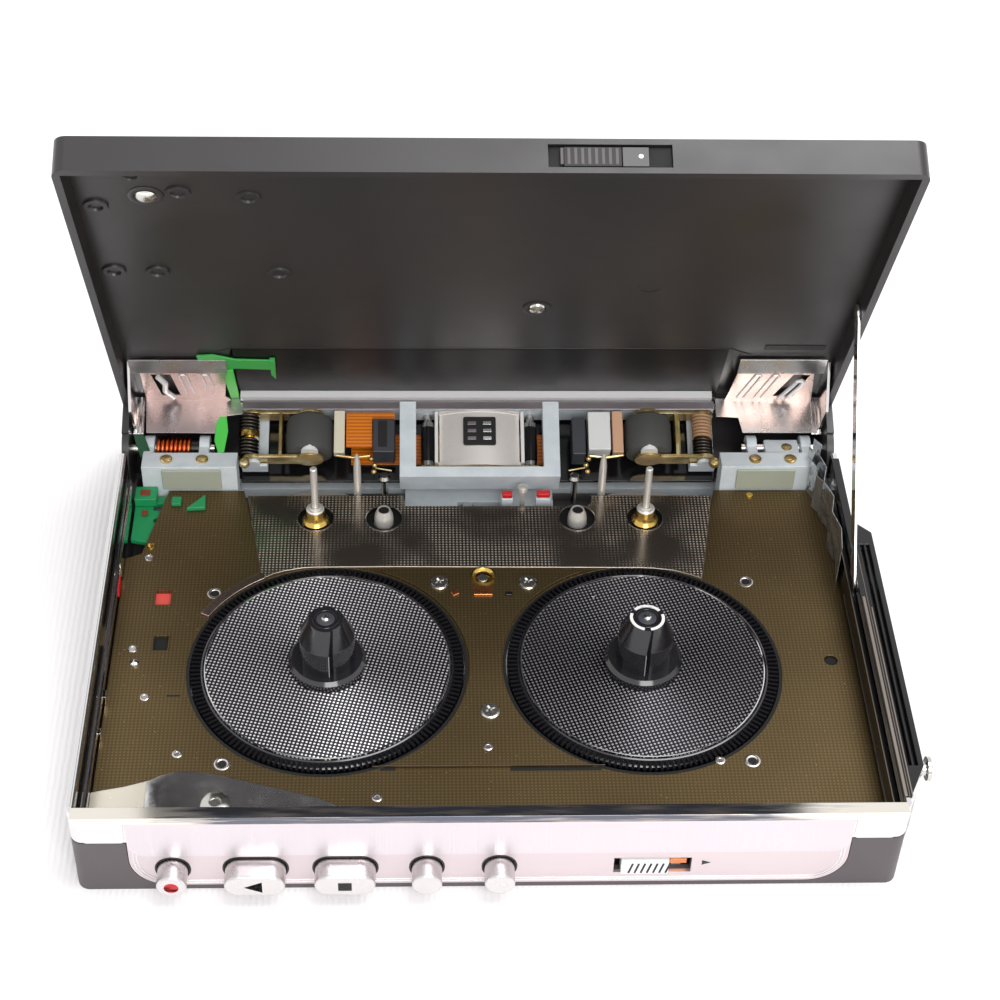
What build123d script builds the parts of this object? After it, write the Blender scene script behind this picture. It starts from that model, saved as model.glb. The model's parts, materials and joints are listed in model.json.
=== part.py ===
from build123d import *
import os
from math import atan2, cos, degrees, hypot, radians, sin

os.makedirs("parts", exist_ok=True)

# Portable cassette recorder with a hinged lid, stored with the lid open.
# Millimetres. The origin is the middle of the closed case's underside: X to the right,
# Y to the rear, where the hinge is, Z up. Every place of a piece on the lid is given as
# it is with the lid shut, and the lid's own planes carry it to the open pose.

# Case
case_width = 104.0
case_depth = 77.0
shell_height = 9.2
frame_top = 14.8
closed_height = 19.5
corner_radius = 1.6
wall = 1.2
side_wall = 1.0
floor = 0.8
gap = 0.2
half_width = case_width / 2
front = -case_depth / 2
rear = case_depth / 2
well_front = front + wall
well_side = half_width - side_wall

# Hinge and lid
spine_radius = 5.2
hinge_y = rear - spine_radius
hinge_z = 10.3
open_angle = 65.0
spine_wall = 1.0
spine_clearance = 0.3
lid_thickness = 1.5
lid_recess_depth = 0.7
lid_inside = closed_height - lid_thickness
hinge_pin_radius = 0.9
pin_clearance = 0.05
ear_front = hinge_y - 5.7
shell_ear_height = hinge_z - spine_radius - spine_clearance

# Latch in the lid's front lip
latch_centre = 13.75
latch_length = 14.8
latch_low = 15.6
latch_high = 18.7
latch_depth = 0.8
latch_knob_length = 7.0
latch_travel = 2.6
latch_clearance = 0.2
bolt_left = latch_centre - 4.6
bolt_right = latch_centre + 1.0
bolt_low = 16.3
bolt_high = 17.7
bolt_depth = 0.9

# Cassette and reels
reel_spacing = 42.5
reel_y = front + 30.6
plate_top = 7.6
plate_thickness = 0.6
plate_bottom = plate_top - plate_thickness
centre_plate_thickness = 0.4
corner_plate_thickness = 0.4
disc_top = 8.3
disc_thickness = 0.3
disc_radius = 16.5
reel_rim_radius = 18.35
reel_hole_radius = 18.9
lower_gear_radius = 12.8
lower_gear_bottom = 4.8
lower_gear_thickness = 1.2
lower_hub_radius = 3.5
spindle_collar_radius = 5.2
spindle_radius = 3.9
spindle_tip_radius = 2.5
spindle_height = 8.7
post_radius = 0.75
spindle_bore = post_radius + 0.05

# Capstans, flywheels and drive
capstan_x = 23.85
capstan_y = reel_y + 28.8
capstan_radius = 0.7
capstan_top = 17.6
bushing_clearance = 0.05
bushing_radius = 2.0
bushing_flange = 2.7
bushing_top = 8.0
flywheel_radius = 10.5
flywheel_bottom = 1.4
flywheel_thickness = 2.2
groove_depth = 0.4
belt_bottom = 1.9
belt_height = 0.9
belt_thickness = 0.5
motor_radius = 8.4
motor_x = half_width - wall - motor_radius - 0.4
motor_y = reel_y + 10.9
motor_bottom = 3.7
motor_top = 6.8
pulley_radius = 2.2
motor_shaft_radius = 0.6

# Head plate and pins
head_plate_top = 6.6
head_plate_thickness = 0.6
head_plate_front = capstan_y - 9.7
head_plate_half_front = 31.0
head_plate_rear = hinge_y - 6.3
head_plate_half_rear = 34.4
head_notch_half = 12.4
head_notch_front = hinge_y - 8.8
locating_x = 14.0
spike_x = 18.9
spike_y = capstan_y + 4.7

# Rear casting and hinge blocks
block_front = hinge_y - 5.9
block_rear = hinge_y - 2.7
block_outer = half_width - 2.8
block_width = 13.8
block_inner = block_outer - block_width
block_top = 11.9
lug_radius = 1.9
lug_thickness = 1.5
bridge_half = 11.0
beam_front = hinge_y - 0.7
beam_rear = hinge_y + 3.3
beam_top = 2.8
bridge_thickness = 1.0
bridge_front = hinge_y - 8.1

# Front controls
panel_thickness = 0.5
panel_half = half_width - 7.0
panel_bottom = 0.8
panel_corner = 5.0
control_z = 4.1
button_clearance = 0.2
button_proud = 3.0
stem_reach = 2.4
small_button_radius = 1.9
wide_button_length = 7.6
wide_button_height = 3.8
rec_x = -panel_half + 5.3
play_x = rec_x + 10.3
stop_x = play_x + 11.2
forward_x = stop_x + 10.2
rewind_x = forward_x + 9.1
lock_x = rewind_x + 19.3
lock_slot_length = 9.8
lock_slot_height = 2.9
lock_knob_length = 6.0
lock_knob_offset = -1.0
lock_foot_half = 3.8
lock_foot_height = 4.4

# Head carriage, on the lid
carriage_front = hinge_y - 3.3
yoke_half = 11.75
yoke_arm = 2.4
yoke_bottom = 4.4
yoke_bar = 1.6
yoke_depth = 2.4
carriage_top = 16.4
carriage_plate = 0.8
carriage_half = block_inner - 0.4
carriage_rear = carriage_front + 5.0
head_half = 6.15
head_bottom = 6.4
head_top = 15.4
head_crown = 14.0
head_depth = 4.6
guide_post_x = 7.6
arm_pivot_x = carriage_half - 1.8
arm_pivot_y = carriage_front + 2.2
roller_x = capstan_x + 1.15
roller_y = carriage_front + 2.0
roller_radius = 3.5
roller_bottom = 8.5
roller_top = 15.0
arm_sheet = 0.5
arm_bottom = 7.8
arm_foot_radius = 1.0
arm_foot_thickness = 0.5
arm_foot_bottom = arm_bottom - 0.1 - arm_foot_thickness
arm_top = 15.3
axle_radius = 0.7
arm_pin_radius = 0.8

# Lid stay
stay_thickness = 0.35
stay_width = 2.4
stay_inside = well_side - 0.05
stay_pivot_y = hinge_y - 32.3
stay_pivot_z = 16.6
stay_end_y = hinge_y - 30.9
stay_end_z = 13.4

# Inside the lower case
board_thickness = 0.6
cell_width = 16.4
cell_length = 40.0
cell_height = 5.2
cell_x = -half_width + wall + cell_width / 2 + 0.3
cell_y = reel_y - 0.6
jack_y = 18.6
jack_z = 4.0
jack_bore = 1.8
jack_barrel = 2.4

tilt = radians(open_angle)


def opened(y, z):
    """Place in the open pose of a point given with the lid shut."""
    dy = y - hinge_y
    dz = z - hinge_z
    return hinge_y + dy * cos(tilt) + dz * sin(tilt), hinge_z - dy * sin(tilt) + dz * cos(tilt)


def level(height, lid=False):
    """Plane seen from above: local x right, local y to the rear."""
    if not lid:
        return Plane.XY.offset(height)
    return Plane(origin=(0, *opened(0, height)), x_dir=(1, 0, 0), z_dir=(0, sin(tilt), cos(tilt)))


def facing(depth, lid=False):
    """Plane parallel to the front: local x right, local y up, extruding to the front."""
    if not lid:
        return Plane.XZ.offset(-depth)
    return Plane(origin=(0, *opened(depth, 0)), x_dir=(1, 0, 0), z_dir=(0, -cos(tilt), sin(tilt)))


def beside(across, lid=False):
    """Plane square to the hinge: local x to the rear, local y up, extruding to the right."""
    if not lid:
        return Plane.YZ.offset(across)
    return Plane(origin=(across, *opened(0, 0)), x_dir=(0, cos(tilt), -sin(tilt)), z_dir=(1, 0, 0))


def block(plane, left, right, low, high, thickness, mode=Mode.ADD):
    """Rectangular block on a plane, between two local x and two local y values."""
    with BuildSketch(plane) as outline:
        with Locations(((left + right) / 2, (low + high) / 2)):
            Rectangle(right - left, high - low)
    extrude(outline.sketch, amount=thickness, mode=mode)


def cylinder(plane, x, y, radius, length, mode=Mode.ADD):
    """Round post or hole on a plane."""
    with BuildSketch(plane) as outline:
        with Locations((x, y)):
            Circle(radius)
    extrude(outline.sketch, amount=length, mode=mode)


def prism(plane, points, length, mode=Mode.ADD):
    """Straight-sided prism on a plane."""
    with BuildSketch(plane) as outline:
        Polygon(*points, align=None)
    extrude(outline.sketch, amount=length, mode=mode)


# Lower case

front_controls = [
    ("rec_button", rec_x, 2 * small_button_radius, 2 * small_button_radius),
    ("play_button", play_x, wide_button_length, wide_button_height),
    ("stop_button", stop_x, wide_button_length, wide_button_height),
    ("forward_button", forward_x, 2 * small_button_radius, 2 * small_button_radius),
    ("rewind_button", rewind_x, 2 * small_button_radius, 2 * small_button_radius),
]


def pill(x, z, length, height):
    """Button outline on the active sketch: a circle, or a bar with round ends."""
    with Locations((x, z)):
        if length > height:
            SlotOverall(length, height)
        else:
            Circle(height / 2)


def control_openings(thickness, start):
    """Cut the holes of the five buttons and the lock slide through a front piece."""
    with BuildSketch(facing(start)) as holes:
        for _, x, length, height in front_controls:
            pill(x, control_z, length + 2 * button_clearance, height + 2 * button_clearance)
        with Locations((lock_x, control_z)):
            Rectangle(lock_slot_length, lock_slot_height)
    extrude(holes.sketch, amount=thickness, mode=Mode.SUBTRACT)


with BuildPart() as bottom_shell:
    with BuildSketch(level(0)):
        RectangleRounded(case_width, case_depth, corner_radius)
    extrude(amount=shell_height)
    block(level(floor), -half_width + wall, half_width - wall, well_front, rear - wall,
          closed_height, mode=Mode.SUBTRACT)
    # The lid's ears and spine turn in this space at the rear
    block(level(shell_ear_height), -case_width, case_width, ear_front, rear + wall,
          closed_height, mode=Mode.SUBTRACT)
    # Seat of the control panel in the front wall
    block(facing(front + panel_thickness), -panel_half - gap / 2, panel_half + gap / 2,
          panel_bottom + panel_corner, shell_height, wall, mode=Mode.SUBTRACT)
    block(facing(front + panel_thickness), -panel_half + panel_corner, panel_half - panel_corner,
          panel_bottom, shell_height, wall, mode=Mode.SUBTRACT)
    for side in (-1, 1):
        cylinder(facing(front + panel_thickness), side * (panel_half - panel_corner),
                 panel_bottom + panel_corner, panel_corner + gap / 2, wall, mode=Mode.SUBTRACT)
    control_openings(3 * wall, well_front + wall)
    cylinder(beside(half_width - 2 * wall), jack_y, jack_z, jack_barrel, 3 * wall, mode=Mode.SUBTRACT)
bottom_shell.part.label = "bottom_shell"
export_step(bottom_shell.part, "parts/bottom_shell.step")

with BuildPart() as front_panel:
    with BuildSketch(facing(front + panel_thickness)):
        with Locations((0, (panel_bottom + shell_height) / 2)):
            Rectangle(2 * panel_half, shell_height - panel_bottom)
    extrude(amount=panel_thickness)
    lower_corners = front_panel.edges().filter_by(Axis.Y).group_by(Axis.Z)[0]
    fillet(lower_corners, radius=panel_corner)
    control_openings(3 * panel_thickness, front + 2 * panel_thickness)
front_panel.part.label = "front_panel"
export_step(front_panel.part, "parts/front_panel.step")

# Bright frame that carries on from the shell up to the rim of the well
with BuildPart() as side_frame:
    with BuildSketch(level(shell_height)):
        RectangleRounded(case_width, case_depth, corner_radius)
    extrude(amount=frame_top - shell_height)
    block(level(0), -well_side, well_side, well_front, rear + wall, closed_height, mode=Mode.SUBTRACT)
    block(level(0), -case_width, case_width, ear_front - gap, rear + wall, closed_height,
          mode=Mode.SUBTRACT)
side_frame.part.label = "side_frame"
export_step(side_frame.part, "parts/side_frame.step")

# Housing on the right side, with long ribs, that the stay's slide runs beside
housing_reach = 2.4
housing_rear = 13.0
housing_front = front + 2.1
housing_bottom = 2.6
housing_slope = 5.0
rib_pitch = 0.8
rib_width = 0.35
with BuildPart() as side_housing:
    with BuildSketch(level(housing_bottom)):
        Polygon((half_width, housing_front), (half_width + housing_reach, housing_front + housing_slope),
                (half_width + housing_reach, housing_rear - housing_reach), (half_width, housing_rear),
                align=None)
    extrude(amount=frame_top - housing_bottom)
    for rib in range(2):
        groove_left = half_width + rib_width + rib * rib_pitch
        block(level(frame_top - rib_pitch), groove_left, groove_left + rib_pitch - rib_width,
              housing_front + housing_slope, housing_rear - 2 * housing_reach, closed_height,
              mode=Mode.SUBTRACT)
side_housing.part.label = "side_housing"
export_step(side_housing.part, "parts/side_housing.step")

# Lanyard stud on the side housing
stud_z = 11.4
stud_y = front + 9.3
with BuildPart() as side_stud:
    cylinder(beside(half_width + housing_reach), stud_y, stud_z, 0.9, 1.1)
    cylinder(beside(half_width + housing_reach + 1.1), stud_y, stud_z, 1.6, 0.6)
side_stud.part.label = "side_stud"
export_step(side_stud.part, "parts/side_stud.step")

# Plates

reel_places = [(-reel_spacing / 2, reel_y), (reel_spacing / 2, reel_y)]
window_x = -well_side + 6.6
window_y = reel_y + 13.1
window_width = 2.2
window_length = 2.8
hole_y = reel_y + 4.5
right_hole_x = well_side - 3.9
right_hole_y = reel_y + 0.9
idler_pivot_y = reel_y + 16.6


def trapezoid(clearance):
    """Outline of the low plate under the cassette's thick edge, grown by a clearance."""
    Polygon((-head_plate_half_front - clearance, head_plate_front - clearance),
            (head_plate_half_front + clearance, head_plate_front - clearance),
            (head_plate_half_rear + clearance, head_plate_rear + clearance),
            (-head_plate_half_rear - clearance, head_plate_rear + clearance), align=None)


plate_side = well_side - 0.6
green_corner = head_plate_rear - 14.5
with BuildPart() as mechanism_plate:
    with BuildSketch(level(plate_bottom)):
        with Locations((0, (well_front + gap + head_plate_rear) / 2)):
            Rectangle(2 * plate_side, head_plate_rear - well_front - gap)
        with Locations(*reel_places):
            Circle(reel_hole_radius, mode=Mode.SUBTRACT)
        # Cut-away corner over the green lever
        Polygon((-plate_side - 1, green_corner), (-plate_side + 2.2, green_corner + 1.5),
                (-plate_side + 5.2, head_plate_rear + 1), (-plate_side - 1, head_plate_rear + 1),
                align=None, mode=Mode.SUBTRACT)
        with Locations((window_x, window_y)):
            Rectangle(window_width, window_length, mode=Mode.SUBTRACT)
        with Locations((window_x + 0.4, hole_y)):
            Rectangle(window_width - 0.2, window_length, mode=Mode.SUBTRACT)
        with Locations((right_hole_x, right_hole_y)):
            Circle(0.9, mode=Mode.SUBTRACT)
        with Locations((0, idler_pivot_y)):
            Circle(1.6, mode=Mode.SUBTRACT)
    extrude(amount=plate_thickness)
    with BuildSketch(level(0)):
        trapezoid(gap / 2)
    extrude(amount=closed_height, mode=Mode.SUBTRACT)
mechanism_plate.part.label = "mechanism_plate"
export_step(mechanism_plate.part, "parts/mechanism_plate.step")

centre_plate_half = 15.1
centre_plate_front = reel_y - 17.5
centre_plate_rear = reel_y + 17.7
with BuildPart() as centre_plate:
    with BuildSketch(level(plate_top)):
        with Locations((0, (centre_plate_front + centre_plate_rear) / 2)):
            Rectangle(2 * centre_plate_half, centre_plate_rear - centre_plate_front)
        with Locations(*reel_places):
            Circle(reel_hole_radius + gap, mode=Mode.SUBTRACT)
        with Locations((0, idler_pivot_y)):
            Circle(1.6, mode=Mode.SUBTRACT)
    extrude(amount=centre_plate_thickness)
centre_plate.part.label = "centre_plate"
export_step(centre_plate.part, "parts/centre_plate.step")

with BuildPart() as head_plate:
    with BuildSketch(level(head_plate_top - head_plate_thickness)):
        trapezoid(0)
        with Locations((0, head_notch_front + closed_height / 2)):
            Rectangle(2 * head_notch_half, closed_height, mode=Mode.SUBTRACT)
        with Locations((-capstan_x, capstan_y), (capstan_x, capstan_y)):
            Circle(bushing_radius, mode=Mode.SUBTRACT)
    extrude(amount=head_plate_thickness)
head_plate.part.label = "head_plate"
export_step(head_plate.part, "parts/head_plate.step")

# Bright plate across the front left corner, over the edge of the mechanism plate
with BuildPart() as corner_plate:
    with BuildSketch(level(plate_top)):
        Polygon((-plate_side, well_front), (-20.5, well_front), (-20.5, well_front + 5.3),
                (-23.0, well_front + 6.3), (-36.5, well_front + 10.7), (-plate_side + 9.4, well_front + 10.9),
                (-plate_side + 6.4, well_front + 9.1), (-plate_side, well_front + 7.5), align=None)
    extrude(amount=corner_plate_thickness)
corner_plate.part.label = "corner_plate"
export_step(corner_plate.part, "parts/corner_plate.step")

# Cast piece at the rear: two hinge blocks, a cross beam and the bridge behind the head plate
with BuildPart() as rear_casting:
    block(level(floor), -block_outer, block_outer, beam_front, beam_rear, beam_top - floor)
    block(level(beam_top), -bridge_half, bridge_half, bridge_front, beam_rear, bridge_thickness)
    for side in (-1, 1):
        inner, outer = sorted((side * block_inner, side * block_outer))
        block(level(floor), inner, outer, block_front, block_rear, block_top - floor)
        block(level(floor), inner, outer, block_rear, beam_front, beam_top - floor)
        for lug_x in (side * (block_outer - lug_thickness / 2), side * (block_inner + 5.0)):
            with BuildSketch(beside(lug_x - lug_thickness / 2)) as lug:
                with Locations((hinge_y, hinge_z)):
                    Circle(lug_radius)
                with Locations(((block_rear + hinge_y) / 2 - 0.5, hinge_z - 0.15)):
                    Rectangle(hinge_y - block_rear + 1.0, 2 * lug_radius - 0.7)
            extrude(lug.sketch, amount=lug_thickness)
        cylinder(beside(side * block_inner if side > 0 else -half_width), hinge_y, hinge_z,
                 hinge_pin_radius, half_width - block_inner, mode=Mode.SUBTRACT)
    # Slot in the bridge
    block(level(0), -3.2, 3.2, bridge_front + 1.2, bridge_front + 3.4, closed_height, mode=Mode.SUBTRACT)
rear_casting.part.label = "rear_casting"
export_step(rear_casting.part, "parts/rear_casting.step")

pad_width = 8.6
pad_height = 3.7
pad_thickness = 0.4
with BuildPart() as block_pads:
    for side in (-1, 1):
        centre = side * (block_inner + 6.6)
        block(facing(block_front), centre - pad_width / 2, centre + pad_width / 2,
              plate_top + gap, plate_top + gap + pad_height, pad_thickness)
block_pads.part.label = "block_pads"
export_step(block_pads.part, "parts/block_pads.step")

screw_head = 1.1
with BuildPart() as block_screws:
    for side in (-1, 1):
        for x in (side * (block_inner + 4.0), side * (block_inner + 9.2)):
            cylinder(level(block_top), x, (block_front + block_rear) / 2, screw_head, 0.5)
block_screws.part.label = "block_screws"
export_step(block_screws.part, "parts/block_screws.step")

hinge_pin_inner = block_inner + 3.6
hinge_pin_outer = half_width - 0.1
with BuildPart() as hinge_pins:
    for start in (hinge_pin_inner, -hinge_pin_outer):
        cylinder(beside(start), hinge_y, hinge_z, hinge_pin_radius, hinge_pin_outer - hinge_pin_inner)
hinge_pins.part.label = "hinge_pins"
export_step(hinge_pins.part, "parts/hinge_pins.step")

spring_wire = 0.25
spring_radius = hinge_pin_radius + spring_wire + 0.08
spring_start = -block_outer + 1.8
spring_length = 4.8
with BuildPart() as hinge_spring:
    with BuildLine():
        coil = Helix(pitch=0.62, height=spring_length, radius=spring_radius,
                     center=(spring_start, hinge_y, hinge_z), direction=(1, 0, 0))
    with BuildSketch(Plane(origin=coil @ 0, z_dir=coil % 0)):
        Circle(spring_wire)
    sweep(is_frenet=True)
hinge_spring.part.label = "hinge_spring"
export_step(hinge_spring.part, "parts/hinge_spring.step")

# Pins, screws and eyelets on the plates

with BuildPart() as plate_pins:
    # Cone-topped pins that line the cassette up
    for side in (-1, 1):
        with BuildSketch(Plane.XZ.offset(-capstan_y)):
            with Locations((side * locating_x, head_plate_top)):
                Polygon((0, 0), (2.2, 0), (2.2, 0.5), (1.55, 0.9), (1.3, 2.4), (0.5, 3.4), (0, 3.4),
                        align=None)
        revolve(axis=Axis((side * locating_x, capstan_y, 0), (0, 0, 1)))
    # Pointed posts behind them, from the casting up through the plate's edge
    for side in (-1, 1):
        with BuildSketch(Plane.XZ.offset(-spike_y)):
            with Locations((side * spike_x, head_plate_top)):
                Polygon((0, 0), (0.9, 0), (0.9, 0.6), (0.65, 0.8), (0.65, 4.6), (0.12, 6.6), (0, 6.6),
                        align=None)
        revolve(axis=Axis((side * spike_x, spike_y, 0), (0, 0, 1)))
plate_pins.part.label = "plate_pins"
export_step(plate_pins.part, "parts/plate_pins.step")

corner_screw_x = -34.7
corner_screw_y = well_front + 4.7
plate_screw_places = [(-6.1, reel_y + 15.4), (6.3, reel_y + 15.4), (0.4, reel_y - 8.3)]
with BuildPart() as plate_screws:
    for x, y in plate_screw_places:
        cylinder(level(plate_top + centre_plate_thickness), x, y, screw_head, 0.45)
    cylinder(level(plate_top + corner_plate_thickness), corner_screw_x, corner_screw_y, 1.7, 0.5)
plate_screws.part.label = "plate_screws"
export_step(plate_screws.part, "parts/plate_screws.step")

eyelet_places = [(-37.3, reel_y + 13.9), (-34.3, reel_y - 16.7), (37.1, reel_y + 15.9), (34.3, reel_y - 16.7)]
rivet_places = [(-plate_side + 2.7, reel_y + 3.5), (-plate_side + 5.1, reel_y - 5.2), (-40.2, reel_y - 15.0),
                (-plate_side + 3.3, reel_y + 0.8), (-14.3, reel_y - 22.4)]
with BuildPart() as plate_eyelets:
    for x, y in eyelet_places:
        cylinder(level(plate_top), x, y, 1.05, 0.2)
        cylinder(level(plate_top), x, y, 0.55, 0.2, mode=Mode.SUBTRACT)
    for x, y in rivet_places:
        cylinder(level(plate_top), x, y, 0.75, 0.3)
plate_eyelets.part.label = "plate_eyelets"
export_step(plate_eyelets.part, "parts/plate_eyelets.step")

with BuildPart() as capstan_bushings:
    for side in (-1, 1):
        x = side * capstan_x
        cylinder(level(plate_bottom - 2.6), x, capstan_y, bushing_radius, bushing_top - plate_bottom + 2.2)
        cylinder(level(head_plate_top), x, capstan_y, bushing_flange, 0.8)
        cylinder(level(0), x, capstan_y, capstan_radius + bushing_clearance, closed_height,
                 mode=Mode.SUBTRACT)
capstan_bushings.part.label = "capstan_bushings"
export_step(capstan_bushings.part, "parts/capstan_bushings.step")

post_foot = 1.6
with BuildPart() as pivot_posts:
    for x, y, top in ((-reel_spacing / 2, reel_y, disc_top + spindle_height - 0.4),
                      (reel_spacing / 2, reel_y, disc_top + spindle_height - 0.4),
                      (0, idler_pivot_y, plate_top + 0.3)):
        cylinder(level(floor), x, y, post_foot, 2.6 - floor)
        cylinder(level(floor), x, y, post_radius, top - floor)
pivot_posts.part.label = "pivot_posts"
export_step(pivot_posts.part, "parts/pivot_posts.step")

# Reels

for name, x in (("left", -reel_spacing / 2), ("right", reel_spacing / 2)):
    with BuildPart() as reel_hub:
        # Toothed rim, web and lower gear in one moulding with the spindle
        cylinder(level(plate_bottom + 0.15), x, reel_y, reel_rim_radius, disc_top - 0.25 - plate_bottom - 0.15)
        cylinder(level(disc_top - disc_thickness), x, reel_y, disc_radius + 0.1, 1.0, mode=Mode.SUBTRACT)
        cylinder(level(lower_gear_bottom), x, reel_y, lower_gear_radius, lower_gear_thickness)
        cylinder(level(lower_gear_bottom), x, reel_y, lower_hub_radius, disc_top - 0.5 - lower_gear_bottom)
        cylinder(level(disc_top - disc_thickness - 0.2), x, reel_y, spindle_collar_radius, 1.9)
        # Three-finned spindle that narrows to its tip
        with BuildSketch(level(disc_top + 1.3)):
            with Locations((x, reel_y)):
                RegularPolygon(spindle_radius, 6)
        extrude(amount=4.2)
        with BuildSketch(level(disc_top + 5.5)):
            with Locations((x, reel_y)):
                RegularPolygon(spindle_radius, 6)
        with BuildSketch(level(disc_top + spindle_height)):
            with Locations((x, reel_y)):
                RegularPolygon(spindle_tip_radius, 6)
        loft()
        cylinder(level(0), x, reel_y, spindle_bore, closed_height, mode=Mode.SUBTRACT)
    reel_hub.part.label = f"reel_hub_{name}"
    export_step(reel_hub.part, f"parts/reel_hub_{name}.step")

    with BuildPart() as reel_disc:
        cylinder(level(disc_top - disc_thickness), x, reel_y, disc_radius, disc_thickness)
        cylinder(level(0), x, reel_y, spindle_collar_radius, closed_height, mode=Mode.SUBTRACT)
    reel_disc.part.label = f"reel_disc_{name}"
    export_step(reel_disc.part, f"parts/reel_disc_{name}.step")

# Idler that swings from one reel to the other

idler_arm_length = 10.7
idler_gear_radius = 6.5
idler_y = idler_pivot_y - idler_arm_length
idler_plate_bottom = 3.2
with BuildPart() as idler_arm:
    with BuildSketch(level(idler_plate_bottom)):
        with Locations((0, (idler_pivot_y + idler_y) / 2)):
            SlotCenterToCenter(idler_arm_length, 4.4, rotation=90)
    extrude(amount=0.8)
    cylinder(level(idler_plate_bottom), 0, idler_pivot_y, 1.35, plate_top - idler_plate_bottom)
    cylinder(level(idler_plate_bottom), 0, idler_y, 0.8, 3.0)
    cylinder(level(0), 0, idler_pivot_y, post_radius + 0.05, closed_height, mode=Mode.SUBTRACT)
idler_arm.part.label = "idler_arm"
export_step(idler_arm.part, "parts/idler_arm.step")

with BuildPart() as idler_gear:
    cylinder(level(idler_plate_bottom + 0.9), 0, idler_y, idler_gear_radius, 1.9)
    cylinder(level(0), 0, idler_y, 0.85, closed_height, mode=Mode.SUBTRACT)
idler_gear.part.label = "idler_gear"
export_step(idler_gear.part, "parts/idler_gear.step")

# Capstans on their flywheels, motor and belt

for name, x in (("left", -capstan_x), ("right", capstan_x)):
    with BuildPart() as capstan_rotor:
        cylinder(level(flywheel_bottom), x, capstan_y, flywheel_radius, flywheel_thickness)
        with BuildSketch(level(belt_bottom - 0.1)):
            with Locations((x, capstan_y)):
                Circle(flywheel_radius + 1)
                Circle(flywheel_radius - groove_depth, mode=Mode.SUBTRACT)
        extrude(amount=belt_height + 0.2, mode=Mode.SUBTRACT)
        cylinder(level(floor + 0.1), x, capstan_y, capstan_radius, capstan_top - floor - 0.1)
    capstan_rotor.part.label = f"capstan_rotor_{name}"
    export_step(capstan_rotor.part, f"parts/capstan_rotor_{name}.step")

with BuildPart() as motor_can:
    cylinder(level(motor_bottom), motor_x, motor_y, motor_radius, motor_top - motor_bottom)
    cylinder(level(0), motor_x, motor_y, motor_shaft_radius + 0.05, closed_height, mode=Mode.SUBTRACT)
motor_can.part.label = "motor_can"
export_step(motor_can.part, "parts/motor_can.step")

with BuildPart() as motor_pulley:
    cylinder(level(1.5), motor_x, motor_y, pulley_radius + 0.5, 1.8)
    with BuildSketch(level(belt_bottom - 0.1)):
        with Locations((motor_x, motor_y)):
            Circle(pulley_radius + 1)
            Circle(pulley_radius, mode=Mode.SUBTRACT)
    extrude(amount=belt_height + 0.2, mode=Mode.SUBTRACT)
    cylinder(level(1.5), motor_x, motor_y, motor_shaft_radius, motor_top - 1.6)
motor_pulley.part.label = "motor_pulley"
export_step(motor_pulley.part, "parts/motor_pulley.step")

belt_wheels = [(-capstan_x, capstan_y, flywheel_radius - groove_depth),
               (capstan_x, capstan_y, flywheel_radius - groove_depth),
               (motor_x, motor_y, pulley_radius)]
with BuildPart() as drive_belt:
    for clearance, mode in ((belt_thickness, Mode.ADD), (0.04, Mode.SUBTRACT)):
        with BuildSketch(level(belt_bottom)) as loop:
            for x, y, radius in belt_wheels:
                with Locations((x, y)):
                    Circle(radius + clearance)
            make_hull()
        extrude(loop.sketch, amount=belt_height, mode=mode)
drive_belt.part.label = "drive_belt"
export_step(drive_belt.part, "parts/drive_belt.step")

# Circuit board, cell and jack in the floor of the case

board_bottom = floor + 0.1
with BuildPart() as circuit_board:
    block(level(board_bottom), cell_x + cell_width / 2 + 1.1, half_width - wall - 2.8, well_front + 3.3,
          reel_y - post_foot - 0.7, board_thickness)
circuit_board.part.label = "circuit_board"
export_step(circuit_board.part, "parts/circuit_board.step")

board_top = board_bottom + board_thickness
chip_places = [(-26.0, reel_y - 8.1, 7.0, 5.0), (-12.0, reel_y - 13.1, 9.0, 7.0), (4.0, reel_y - 12.1, 6.0, 6.0),
               (16.0, reel_y - 16.1, 10.0, 5.0), (32.0, reel_y - 7.1, 6.0, 4.0)]
switch_front = well_front + stem_reach + 1.2
with BuildPart() as board_parts:
    for x, y, length, breadth in chip_places:
        block(level(board_top), x - length / 2, x + length / 2, y - breadth / 2, y + breadth / 2, 1.6)
    for _, x, _, _ in front_controls[1:]:
        block(level(board_top), x - 1.8, x + 1.8, switch_front, switch_front + 2.0, 4.4)
board_parts.part.label = "board_parts"
export_step(board_parts.part, "parts/board_parts.step")

with BuildPart() as battery_cell:
    with BuildSketch(level(floor + 0.1)):
        with Locations((cell_x, cell_y)):
            RectangleRounded(cell_width, cell_length, 1.5)
    extrude(amount=cell_height)
battery_cell.part.label = "battery_cell"
export_step(battery_cell.part, "parts/battery_cell.step")

cell_front = cell_y - cell_length / 2
cell_rear = cell_y + cell_length / 2
with BuildPart() as cell_contacts:
    for y in (cell_front - 0.5, cell_rear + 0.1):
        block(level(floor + 0.1), cell_x - 4, cell_x + 4, y, y + 0.4, 4.6)
cell_contacts.part.label = "cell_contacts"
export_step(cell_contacts.part, "parts/cell_contacts.step")

# Earphone jack, its mouth in the right-hand wall of the shell
with BuildPart() as earphone_jack:
    block(level(floor + 0.1), half_width - wall - 11.0, half_width - wall, jack_y - 2.9, jack_y + 2.9, 5.8)
    cylinder(beside(half_width - wall), jack_y, jack_z, jack_barrel, wall)
    cylinder(beside(half_width - wall - 9.5), jack_y, jack_z, jack_bore, 9.5 + wall, mode=Mode.SUBTRACT)
earphone_jack.part.label = "earphone_jack"
export_step(earphone_jack.part, "parts/earphone_jack.step")

# Front controls

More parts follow.
